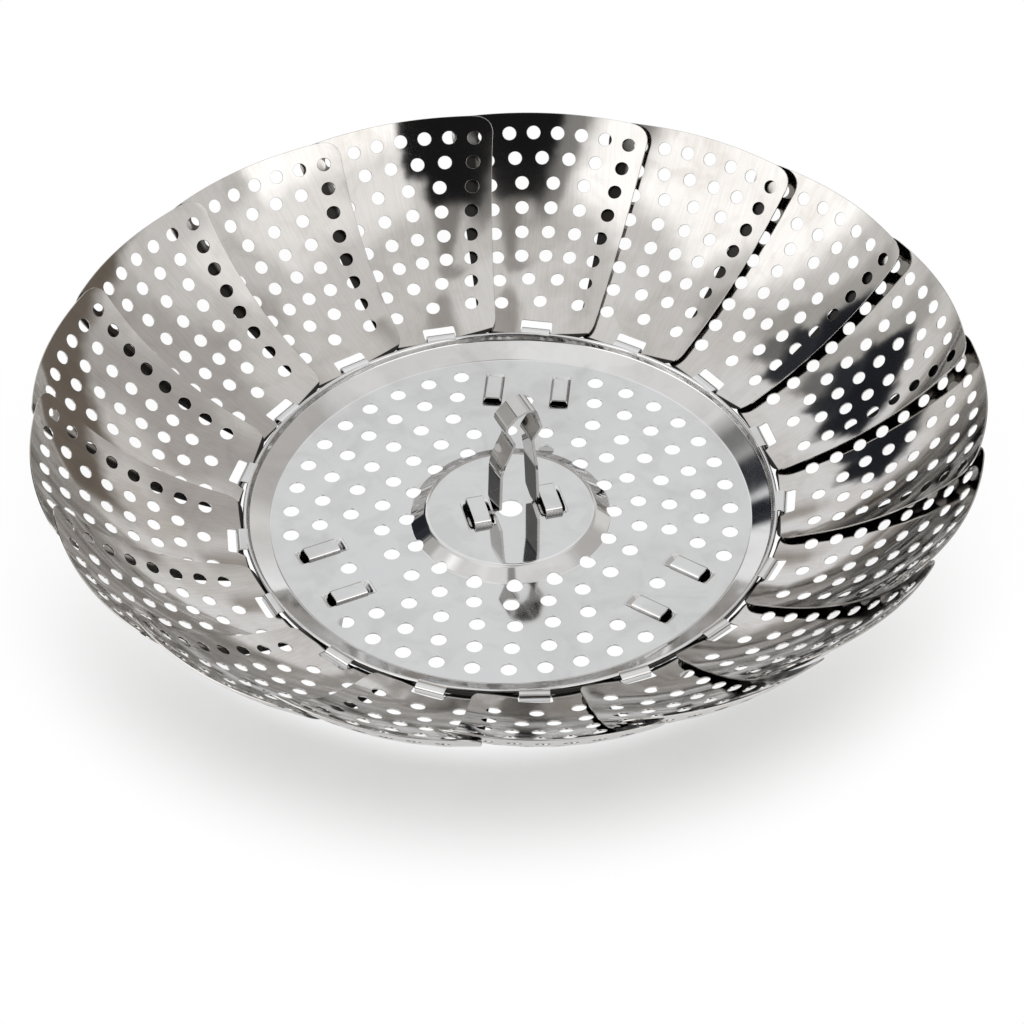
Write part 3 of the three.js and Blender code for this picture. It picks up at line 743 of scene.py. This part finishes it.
# %% Plate: hub, flat and border
SHEET = 0.5
TOP_SEAM, FLANK_SEAM, HUB_SEAM, FLAT_SEAM = 20.9, 25.0, 29.8, 61.2
SEAM_NEAR = 0.03
HUB_STEPS = 384
FLANK_ROWS = 33
FOOT_SIDE_STEPS, FOOT_LAYERS = 12, 8
RIM_STEPS = PETALS * 40
CENTRE_HOLE_R, CENTRE_HOLE_SIDES = 3.2, 60
PLATE_HOLE_R, PLATE_HOLE_SIDES = 2.1, 24
LAYOUT_DEG = 84.0
LEGS = 3
LEG_CLEAR_DEG = 16  # a broken ring has no holes this near a leg
HOLE_RINGS = ((27.2, 16, 1.34), (34.0, 22, 7.59), (41.9, 27, 4.0), (50.0, 33, -3.29), (57.7, 39, 0.93))
LONE_HOLE_R = 46.2
HUB_TOP = 2.5
HUB_STEP = 0.05  # to take the hub's slope
HUB_PROFILE = rounded([(0, HUB_TOP, 0), (21.9, HUB_TOP, 3.0), (26.2, 0, 1.2), (80, 0, 0)], steps=16)
HOUSING_SPREAD = 9.0
HOUSING_IN, HOUSING_OUT = 45.6, 54.4
HOUSING_HALF, HOUSING_TOP, HOUSING_RISE = 2.5, 1.95, 1.05
HOUSING_LIP = 2.3  # dished metal in front of a housing's mouths
HOUSING_DISH, HOUSING_INSIDE = 0.9, 4.4  # its depth, and how far it goes on in the tunnel
STRAP_DEG = 13.0
STRAPS = ((-10.8, -6.3), (8.3, 12.8))
STRAP_HALF, STRAP_TOP, STRAP_RISE = 5.9, 4.7, 1.95
STRAP_MOUTH = 5.3
STRAP_LIP = 1.5
STRAP_DISH, STRAP_INSIDE = 0.7, 2.2


def hub_height(r):
    return np.interp(r, HUB_PROFILE[:, 0], HUB_PROFILE[:, 1])


def plate_place(spots, lift):
    r = np.hypot(spots[:, 0], spots[:, 1])
    slope = (hub_height(r + HUB_STEP) - hub_height(r - HUB_STEP)) / (2 * HUB_STEP)
    up = 1 / np.sqrt(1 + slope * slope)
    out = -slope * up * lift / np.maximum(r, 1e-6)
    z = hub_height(r) - SHEET / 2 + up * lift
    return np.column_stack([spots[:, 0] * (1 + out), spots[:, 1] * (1 + out), z])


def polar(r, degrees):
    return r * math.cos(math.radians(degrees)), r * math.sin(math.radians(degrees))


def leg_angles():
    return [LAYOUT_DEG + 360 / LEGS * i for i in range(LEGS)]


def ring_centres(ring, broken):
    """Hole centres of a ring. A broken ring leaves out the places round the legs."""
    r, count, phase = ring
    out = []
    for i in range(count):
        angle = phase + 360 / count * i
        off = min(abs((angle - a + 180) % 360 - 180) for a in leg_angles())
        if not broken or off > LEG_CLEAR_DEG:
            out.append(polar(r, angle))
    return out


def turned_box(x0, x1, y0, y1, degrees, radius=0.3):
    corners = [(x0, y0, radius), (x1, y0, radius), (x1, y1, radius), (x0, y1, radius)]
    loop = spaced(rounded(corners, closed=True, steps=3), 1.0)
    c, s = math.cos(math.radians(degrees)), math.sin(math.radians(degrees))
    return np.column_stack([c * loop[:, 0] - s * loop[:, 1], s * loop[:, 0] + c * loop[:, 1]])


def grid_blank(rows, wrap=False):
    """A blank of quads from a (rows, columns, 2) array. wrap joins the last column to the first."""
    n, m = rows.shape[:2]
    faces = []
    for i in range(n - 1):
        for j in range(m if wrap else m - 1):
            k = (j + 1) % m
            faces.append([i * m + j, (i + 1) * m + j, (i + 1) * m + k, i * m + k])
    return rows.reshape(-1, 2), faces


def foot_sector(angle, half, arc_steps):
    """The ring between flank and flat, from angle - half to angle + half, with a hole in the middle."""
    low, high = math.radians(angle - half), math.radians(angle + half)
    there, back = (np.linspace(a, b, arc_steps + 1)[:-1] for a, b in ((low, high), (high, low)))
    reach = np.linspace(FLANK_SEAM, HUB_SEAM, FOOT_SIDE_STEPS + 1)[:-1]
    retreat = (reach + HUB_SEAM - reach[-1])[::-1]
    sides = (reach, low), (HUB_SEAM, there), (retreat, high), (FLANK_SEAM, back)
    border = np.vstack([arc(*side) for side in sides])
    centre = np.array(polar(HOLE_RINGS[0][0], angle))
    hole = centre + PLATE_HOLE_R * unit(border - centre)
    share = np.linspace(0, 1, FOOT_LAYERS + 1)[:, None, None]
    return grid_blank(hole + share * (border - hole), wrap=True)


def welded(parts):
    """Several blanks as one, with shared points."""
    spots, faces = [], []
    count = 0
    for part_spots, part_faces in parts:
        spots.append(part_spots)
        faces += [[i + count for i in f] for f in part_faces]
        count += len(part_spots)
    spots = np.vstack(spots)
    _, first, back = np.unique(np.round(spots, 4), axis=0, return_index=True, return_inverse=True)
    back = back.reshape(-1)
    return spots[first], [[int(back[i]) for i in f] for f in faces]


def on_seam(spots):
    r = np.hypot(spots[:, 0], spots[:, 1])
    near = np.zeros(len(spots), bool)
    for seam in (TOP_SEAM, FLANK_SEAM, HUB_SEAM, FLAT_SEAM):
        near |= np.abs(r - seam) < SEAM_NEAR
    return near


strap_cuts = [
    turned_box(a - STRAP_LIP, b + STRAP_LIP, -STRAP_MOUTH, STRAP_MOUTH, STRAP_DEG) for a, b in STRAPS
]
housing_cuts = [
    turned_box(HOUSING_IN - HOUSING_LIP, HOUSING_OUT + HOUSING_LIP, y - HOUSING_HALF, y + HOUSING_HALF, a)
    for a in leg_angles()
    for y in (-HOUSING_SPREAD, HOUSING_SPREAD)
]
flat_centres = ring_centres(HOLE_RINGS[1], False) + [polar(LONE_HOLE_R, a) for a in leg_angles()]
for ring in HOLE_RINGS[2:]:
    flat_centres += ring_centres(ring, True)
sector = 180 / HOLE_RINGS[0][1]
seam_phase = math.radians(HOLE_RINGS[0][2] + sector)
sector_steps = HUB_STEPS // HOLE_RINGS[0][1]
first_holes = [HOLE_RINGS[0][2] + 2 * sector * i for i in range(HOLE_RINGS[0][1])]
flank_radii = np.linspace(TOP_SEAM, FLANK_SEAM, FLANK_ROWS)
flank = np.array([circle(r, HUB_STEPS, phase=seam_phase) for r in flank_radii])
blanks = [
    punched("hub_top", [flank[0], circle(CENTRE_HOLE_R, CENTRE_HOLE_SIDES)] + strap_cuts),
    grid_blank(flank, wrap=True),
    welded([foot_sector(angle, sector, sector_steps) for angle in first_holes]),
    punched(
        "flat",
        [circle(FLAT_SEAM, RIM_STEPS), circle(HUB_SEAM, HUB_STEPS, phase=seam_phase)] + housing_cuts,
        flat_centres,
        PLATE_HOLE_R,
        PLATE_HOLE_SIDES,
    ),
]
plate = Shell()
for blank in blanks:
    plate.take(press(blank, plate_place, SHEET, on_seam).moved(facing(0)))

BEAD_R, BEAD_Z, BEAD = 69.4, 3.7, 0.6
BEAD_FROM, BEAD_TO = 185, -85  # degrees round the bead's own middle
BORDER_STEP, CURL_STEP = 0.4, 0.3
BEHIND_R, BEHIND_UP = 68.5, 0.25  # what lies outside and below these, facing out or down, gets painted shade
border_corners = [(FLAT_SEAM, 0, 0), (62.9, 0, 1.8), (68.35, 2.55, 0.6), (68.8, 3.62, 0)]
border_top = spaced(rounded(border_corners, steps=8), BORDER_STEP, closed=False)
border_way = unit(np.gradient(border_top, axis=0))
border_low = border_top - SHEET * np.column_stack([-border_way[:, 1], border_way[:, 0]])
bead = arc(BEAD, np.radians(np.linspace(BEAD_FROM, BEAD_TO, 19)), (BEAD_R, BEAD_Z))
curl_end = np.array([(69.3, 3.0), (69.3, 1.5), (69.05, 1.5), (69.05, 2.9)])
rim_curl = spaced(curl_end, CURL_STEP, closed=False)
border_loop = np.vstack([border_top, bead, rim_curl, border_low[::-1]])
border = turned(border_loop[::-1], RIM_STEPS)


# Painted shade: the rim's faces that look out or down, where shade falls between rim and petals
def behind_rim(points, normals):
    r = np.hypot(points[:, 0], points[:, 1])
    outwards = np.sum(points[:, :2] * normals[:, :2], axis=1) / r
    away = (outwards > 0.3) | (normals[:, 2] < -0.3)
    return (r > BEHIND_R) & (points[:, 2] < BEAD_Z + BEHIND_UP) & away


border.with_painted_shade(behind_rim)
plate.take(border.moved(facing(0)))
print("plate points:", plate.count)

# %% [markdown]
# ## Housings, straps and tongues
# The press also lances the plate: it cuts two slits, pushes the metal between them up into a small bridge
# and dishes the lips in front of it. Six bridges house the legs' arms, two straps on the hub hold the
# handle, and seventeen tongues on the rim curl round the petals' bars. Each is a bent strip, so one
# helper makes them all.

# %% Pressed details of the plate
BRIDGE_FOOT, BRIDGE_BEND = -0.4, 0.6  # where a bridge's sides end, and the radius of its shoulders
LIP_ROWS, LIP_COLUMNS = 10, 17


def bridge(half, top_half, rise, length):
    """A bridge across y, its tunnel along x and length long, standing on z = 0."""
    top = rise - SHEET / 2
    left = [(-half, BRIDGE_FOOT, 0), (-top_half, top, BRIDGE_BEND)]
    right = [(top_half, top, BRIDGE_BEND), (half, BRIDGE_FOOT, 0)]
    path = rounded(left + right, steps=7)
    return strip(path, length / 2, SHEET).moved(Matrix.Rotation(math.radians(90), 4, "Z"))


def lip(half, depth, length, inside):
    """The dished metal in front of a tunnel's mouth at x = 0. It goes on for a way inside the tunnel."""
    x = np.concatenate([[-inside], np.linspace(0, length, LIP_ROWS)])
    y = np.linspace(-half, half, LIP_COLUMNS)
    rows = np.array([[(a, b) for b in y] for a in x])

    def place(spots, lift):
        fade = np.clip(1 - spots[:, 0] / length, 0, 1)
        edge = np.clip(1 - (spots[:, 1] / half) ** 4, 0, 1)
        z = -depth * fade * fade * (3 - 2 * fade) * edge
        return np.column_stack([spots[:, 0], spots[:, 1], z - SHEET / 2 + lift])

    blank = grid_blank(rows)
    shell = press(blank, place, SHEET, lambda f: np.ones(len(f), bool))
    flat = shell.flat[0]
    x_step, y_step = (NUDGE, 0), (0, NUDGE)
    along = (place(flat + x_step, 0) - place(flat - x_step, 0))[:, 2] / (2 * NUDGE)
    across = (place(flat + y_step, 0) - place(flat - y_step, 0))[:, 2] / (2 * NUDGE)
    up = unit(np.column_stack([-along, -across, np.ones(len(flat))]))
    shell.normals = [up * np.sign(shell.normals[0][:, 2:3])]
    return shell


def lanced(half, top_half, rise, low, high, mouth_half, depth, length, inside):
    """A bridge from x = low to high with a lip at each end. Its tunnel gets painted shade."""
    shell = Shell()
    middle = Matrix.Translation(((low + high) / 2, 0, 0))
    shell.take(bridge(half, top_half, rise, high - low).moved(middle))
    mouth = lip(mouth_half, depth, length, inside)
    turn = Matrix.Rotation(math.pi, 4, "Z")
    shell.take(mouth.moved(Matrix.Translation((high, 0, 0))))
    shell.take(mouth.moved(Matrix.Translation((low, 0, 0)) @ turn))

    # Painted shade: low places within the tunnel and faces that look down
    def in_tunnel(points, normals):
        x, z = points[:, 0], points[:, 2]
        floor = (z < -0.02) & (x > low) & (x < high)
        return floor | ((normals[:, 2] < -0.2) & (z > -0.1))

    return shell.with_painted_shade(in_tunnel)


def take_pairs(piece, spread):
    """The piece on both sides of every leg."""
    for angle in leg_angles():
        for y in (-spread, spread):
            plate.take(piece.moved(facing(angle) @ Matrix.Translation((0, y, 0))))


housing = lanced(
    HOUSING_HALF, HOUSING_TOP, HOUSING_RISE, HOUSING_IN, HOUSING_OUT, HOUSING_HALF,
    HOUSING_DISH, HOUSING_LIP, HOUSING_INSIDE,
)
take_pairs(housing, HOUSING_SPREAD)
for low, high in STRAPS:
    strap = lanced(
        STRAP_HALF, STRAP_TOP, STRAP_RISE, low, high, STRAP_MOUTH, STRAP_DISH, STRAP_LIP, STRAP_INSIDE
    )
    plate.take(strap.moved(facing(STRAP_DEG) @ Matrix.Translation((0, 0, HUB_TOP))))

TONGUE, TONGUE_EDGE = 0.4, 0.08
TONGUE_HALF = 3.9
EYE_R = 0.95
EYE_FROM, EYE_TO = 88, -95  # degrees round the hinge
curl_turn = np.radians(np.linspace(EYE_FROM, EYE_TO, 17))
curl = arc(EYE_R + TONGUE / 2, curl_turn, (HINGE_R, HINGE_Z))
tongue_path = np.vstack([[(69.1, 3.95), (69.7, 4.12), (70.4, 4.22)], curl])
to_hinge, from_hinge = (Matrix.Translation((way * HINGE_R, 0, 0)) for way in (1, -1))
skewed = to_hinge @ Matrix.Rotation(-HINGE_SKEW, 4, "Z") @ from_hinge
tongue = strip(tongue_path, TONGUE_HALF, TONGUE, TONGUE_EDGE).moved(skewed)
for k in range(PETALS):
    plate.take(tongue.moved(facing(PETAL_DEG - k * 360 / PETALS)))

PIN_AT, PIN_Z, PIN_R = 50.5, -1.7, 0.7
PIN_PLAY = 0.15
LUG_AT, LUG = 14.1, 1.0
LUG_HALF, LUG_TOP, LUG_BEND = 1.9, -0.3, 1.8
lug_corners = [
    (PIN_AT - LUG_HALF, LUG_TOP, 0),
    (PIN_AT - LUG_HALF, PIN_Z - LUG_HALF, LUG_BEND),
    (PIN_AT + LUG_HALF, PIN_Z - LUG_HALF, LUG_BEND),
    (PIN_AT + LUG_HALF, LUG_TOP, 0),
]
lug_hole = circle(PIN_R + PIN_PLAY, 20, (PIN_AT, PIN_Z))
lug_blank = punched("lug_blank", [rounded(lug_corners, closed=True), lug_hole])


def lug_place(spots, lift):
    return np.column_stack([spots[:, 0], np.zeros(len(spots)) + lift, spots[:, 1]])


take_pairs(press(lug_blank, lug_place, LUG), LUG_AT)
print("plate points:", plate.count)

# %% [markdown]
# ## Legs and pins
# The photograph doesn't show the legs, only the housings that take their arms. A common shape fits: two
# arms curled round a wire pin, joined low down, with a foot bent inwards. The blank is a flat fork, and
# the press bends it along one path from the curl to the foot.

# %% Legs and pins
STRIP = 0.8
GROUND = -PLATE_Z
ARM_HALF = 1.5
LEG_CURL_R = 1.4
LEG_CURL_FROM = math.radians(300)
LEG_SPLAY = 5.0  # how far the foot stands outside the curl
LEG_TOP = 1.9  # below the plate, where the arms' lean is taken from
FOOT_LENGTH, FOOT_BEND, FOOT_CORNER = 4.6, 1.2, 1.5
CROSSBAR_UP, CROSSBAR_BEND = 6, 2.0
PIN_SIDES = 24
FOOT_X = PIN_AT + LEG_CURL_R + LEG_SPLAY
FOOT_Z = GROUND + STRIP / 2
arm_lean = math.atan2(FOOT_X - PIN_AT - LEG_CURL_R, -GROUND - LEG_TOP)
leg_curl = arc(LEG_CURL_R, np.linspace(LEG_CURL_FROM, arm_lean, 30), (PIN_AT, PIN_Z))
leg_bend = rounded(
    [(*leg_curl[-1], 0), (FOOT_X, FOOT_Z, FOOT_BEND), (FOOT_X - FOOT_LENGTH, FOOT_Z, 0)], steps=10
)
leg_path = np.vstack([leg_curl, leg_bend[1:]])
leg_run = np.concatenate([[0], np.cumsum(np.hypot(*np.diff(leg_path, axis=0).T))])
leg_way = unit(np.gradient(leg_path, leg_run, axis=0))
leg_length = leg_run[-1]
arm = slice(len(leg_curl), None)
crossbar = float(np.interp(-(GROUND + CROSSBAR_UP), -leg_path[arm, 1], leg_run[arm]))


def leg_place(spots, lift):
    y, s = spots[:, 0], spots[:, 1]
    x, z = (np.interp(s, leg_run, leg_path[:, i]) for i in range(2))
    way_x, way_z = (np.interp(s, leg_run, leg_way[:, i]) for i in range(2))
    return np.column_stack([x - way_z * lift, y, z + way_x * lift])


inside = HOUSING_SPREAD - ARM_HALF
outside = HOUSING_SPREAD + ARM_HALF
fork = [
    (-outside, 0, 0), (-inside, 0, 0), (-inside, crossbar, CROSSBAR_BEND),
    (inside, crossbar, CROSSBAR_BEND), (inside, 0, 0), (outside, 0, 0),
    (outside, leg_length, FOOT_CORNER), (-outside, leg_length, FOOT_CORNER),
]
leg_blank = punched("leg_blank", [spaced(rounded(fork, closed=True), 0.4)])
leg_shell = press(leg_blank, leg_place, STRIP)
PIN_HALF = LUG_AT + LUG
pin_profile = [(0, -PIN_HALF), (0.5, -PIN_HALF), (0.66, -PIN_HALF + 0.1), (PIN_R, -PIN_HALF + 0.3)]
pin_profile += [(r, -z) for r, z in pin_profile[::-1]]
pin_shell = turned(pin_profile, PIN_SIDES)
for i, angle in enumerate(leg_angles()):
    label = "leg_%d" % (i + 1)
    finish_piece(label + "_strip", leg_shell.moved(facing(angle)), label, [label], "strip")
    lying = Matrix.Translation((PIN_AT, 0, PIN_Z)) @ Matrix.Rotation(math.radians(90), 4, "X")
    node = "leg_pin_%d" % (i + 1)
    finish_piece(node + "_wire", pin_shell.moved(facing(angle) @ lying), "base", [node], "pin")
finish_piece("plate_stamping", plate, "base", ["base_plate"], "plate")
print("leg strip %.1f mm long" % leg_length)

# %% [markdown]
# ## The handle
# One strip makes the whole keyhole: in along the hub, up, wide for the fingers, round and down again. Its
# two ends narrow to tabs that lie in the straps. The corners below were read off the photograph in the
# handle's own plane.

# %% Handle
HANDLE_DEG = 24.0
HANDLE_SHIFT = 1.0
HANDLE_HALF = 3.6
TAB_HALF = 0.5
TAB_Z = 0.6
TAPER_FROM, TAPER = 0.4, 2.8  # height over which the strips narrow to tabs
handle_corners = [
    (-10.5, TAB_Z, 0), (-5.5, TAB_Z, 0.7), (-4.85, 14.9, 10), (-4.0, 18.0, 8), (-0.85, 24.3, 2.2),
    (-3.5, 30.4, 2.0), (0.05, 33.6, 0.7), (3.5, 34.6, 2.2), (5.2, 33.6, 1.4), (6.7, 27.9, 0.9),
    (4.2, 24.3, 1.0), (5.15, 15.6, 20), (5.5, TAB_Z, 0.7), (10.5, TAB_Z, 0),
]
handle_path = spaced(rounded(handle_corners, steps=10), 0.6, closed=False)
widening = np.clip((handle_path[:, 1] - TAB_Z - TAPER_FROM) / TAPER, 0, 1)
handle_width = TAB_HALF + (HANDLE_HALF - TAB_HALF) * widening
handle_shell = strip(handle_path, handle_width, STRIP)
seat = facing(HANDLE_DEG) @ Matrix.Translation((HANDLE_SHIFT, 0, HUB_TOP))
finish_piece("handle_strip", handle_shell.moved(seat), "handle", ["handle"], "strip")
print("handle points:", handle_shell.count)

# %% [markdown]
# ## The studio
# Polished steel shows only what stands around it, so the room is half of this picture. Reading the petals
# as mirrors, one after the other, gives a map of it: two softboxes left and right of the camera, the dark
# camera stand between them, a dark doorway and brown furniture behind, a pale wall. Each is one line of a
# table below: a range of directions, how soft its edges are, and a colour. The world mixes them, and a
# camera ray sees plain white.

# %% Room and floor
WHITE = (1, 1, 1, 1)
ROOM_GREY = (0.78, 0.77, 0.76)
ROOM_CUT = 168.0  # azimuths run on from here both ways, so that no card lies across the jump
ROOM_LIGHT = 1.45  # how bright the walls are
AZIMUTH_WAVER, ELEVATION_WAVER = 9, 8  # degrees by which the cards' edges waver
FLOOR_SPOT = (-0.004, 0.04, 0)  # middle of what the holes show of the floor
FLOOR_HALF = 3.0
FLOOR_PAINT = (0.66, 0.66, 0.66, 1)
SHADE, SHADE_BEHIND = 0.58, 0.2  # strength, and what share of it is left behind the basket
SHADE_START, SHADE_END = (0.092, 0.108), (0.112, 0.15)  # metres from the spot
SHADE_TURN = (-0.06, 0.03)  # from front to behind, along y
CARDS = (
    # name, azimuth from and to, elevation from and to, softness of each, colour
    ("pale wall", 60, 130, 8, 66, 6, 4, (0.90, 0.90, 0.91)),
    ("back wall", 70, 110, 35, 49, 5, 2, (0.76, 0.765, 0.77)),
    ("dark shelf", 68, 112, 21, 35, 4, 3, (0.40, 0.37, 0.34)),
    ("bright ceiling", 108, 215, 69, 90, 10, 4, (0.88, 0.875, 0.87)),
    ("upper ceiling", 62, 100, 71, 86, 6, 3, (0.45, 0.43, 0.41)),
    ("grey wall", 8, 62, 16, 58, 8, 6, (0.52, 0.50, 0.485)),
    ("lit corner", 34, 64, 17, 31, 6, 4, (0.74, 0.72, 0.70)),
    ("brown furniture", -12, 54, -6, 17, 5, 3, (0.18, 0.155, 0.13)),
    ("low shelf", 88, 122, -6, 11, 4, 3, (0.22, 0.19, 0.165)),
    ("door frame", 147, 158, 6, 52, 3, 4, (0.50, 0.49, 0.47)),
    ("dark doorway", 119, 150, 14, 30, 1.5, 1.5, (0.018, 0.02, 0.026)),
    ("dark doorway", 126, 148, 28, 40, 1.5, 2, (0.03, 0.033, 0.04)),
    ("dark doorway", 134, 147, 38, 47, 2, 3, (0.20, 0.20, 0.20)),
    ("left softbox", 172, 234, 6, 56, 7, 6, (1.52, 1.51, 1.50)),
    ("right glow", 288, 346, 34, 62, 6, 6, (1.1, 1.09, 1.08)),
    ("right softbox", 288, 327, 8, 39, 3, 4, (1.6, 1.59, 1.58)),
    ("stand shade", 237, 252, 6, 68, 3, 5, (0.30, 0.295, 0.29)),
    ("camera arm", 258, 279, 56, 84, 4, 3, (0.30, 0.29, 0.28)),
    ("dark ceiling", 220, 292, 82, 87, 8, 1.5, (0.42, 0.41, 0.40)),
    ("camera stand", 247, 281, 8, 61, 3, 2, (0.012, 0.012, 0.013)),
    ("camera stand", 276, 289, 8, 51, 1.5, 2, (0.012, 0.012, 0.013)),
)


def lit(tint):
    return (*(ROOM_LIGHT * np.array(tint)), 1)


def make_room():
    world = bpy.data.worlds.new("studio")
    bpy.context.scene.world = world
    world.use_nodes = True
    tree = world.node_tree
    tree.nodes.clear()
    view = add_node(tree, "ShaderNodeTexCoord", out="Generated")
    swung = view.node("ShaderNodeMapping", {}, {"Vector": view, "Rotation": (0, 0, -math.radians(ROOM_CUT))})
    x, y, z = swung.axes()
    azimuth = y.sum_with("ARCTAN2", x) * math.degrees(1) + ROOM_CUT
    elevation = z.sum_with("ARCSINE", 0.0) * math.degrees(1)
    waver = cloud(view, scale=9, detail=5, rough=0.62) - 0.5
    azimuth = azimuth + waver * AZIMUTH_WAVER
    waver = cloud(stretched(view, (1, 1, -1)), scale=10, detail=5, rough=0.62) - 0.5
    elevation = elevation + waver * ELEVATION_WAVER
    colour = lit(ROOM_GREY)
    for _, a0, a1, e0, e1, soft_a, soft_e, tint in CARDS:
        mask = azimuth.within(a0, a1, soft_a) * elevation.within(e0, e1, soft_e)
        colour = mask.mixed(colour, lit(tint))
    eye = add_node(tree, "ShaderNodeLightPath", out="Is Camera Ray")
    colour = eye.mixed(colour, WHITE)
    light = colour.node("ShaderNodeBackground", {}, {"Color": colour, "Strength": 1.0})
    light.node("ShaderNodeOutputWorld", {}, {"Surface": light})
    return world


def make_floor():
    """A pale table that glows white to the eye and in reflections. A ring of it keeps some shade, most in
    front of the basket."""
    material, tree = blank_material("floor")
    paint = add_node(tree, "ShaderNodeBsdfDiffuse", {}, {"Color": FLOOR_PAINT})
    white = add_node(tree, "ShaderNodeEmission", {}, {"Color": WHITE, "Strength": 1.0})
    place = add_node(tree, "ShaderNodeTexCoord", out="Object")
    ends = {0: place, 1: FLOOR_SPOT}
    reach = place.node("ShaderNodeVectorMath", {"operation": "DISTANCE"}, ends, out="Value")
    path = add_node(tree, "ShaderNodeLightPath").socket.node
    names = ("Is Camera Ray", "Is Glossy Ray", "Is Transmission Ray")
    rays = [Value(tree, path.outputs[name]) for name in names]
    front = place.axes()[1].between(*SHADE_TURN, 1, SHADE_BEHIND)
    shade = front * reach.between(*SHADE_START, 0, SHADE) * reach.between(*SHADE_END, 1, 0)
    share = (rays[0] + rays[1] + rays[2]) * (1 - shade)
    both = add_node(tree, "ShaderNodeMixShader", {}, {0: share, 1: paint, 2: white})
    both.node("ShaderNodeOutputMaterial", {}, {"Surface": both})
    mesh = bpy.data.meshes.new("floor")
    corners = [(x * FLOOR_HALF, y * FLOOR_HALF, 0) for x, y in ((-1, -1), (1, -1), (1, 1), (-1, 1))]
    mesh.from_pydata(corners, [], [(0, 1, 2, 3)])
    mesh.materials.append(material)
    obj = add_object("floor", mesh)
    obj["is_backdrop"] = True
    return obj


def make_top_light():
    """Brightens the floor round the basket and gives it a soft shadow. Reflections don't show it."""
    data = bpy.data.lights.new("top_light", "AREA")
    data.size = 0.6
    data.energy = 5.8
    lamp = add_object("top_light", data)
    lamp.location = (0, 0.15, 1.5)
    lamp.visible_glossy = False
    return lamp


make_room()
make_floor()
make_top_light()
bpy.context.scene.view_settings.view_transform = "Standard"
print("room cards:", len(CARDS))

# %% [markdown] ## The look box
# The box round everything shown but the floor is printed.

low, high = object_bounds()
print("look box:", [round(c, 4) for c in high - low])
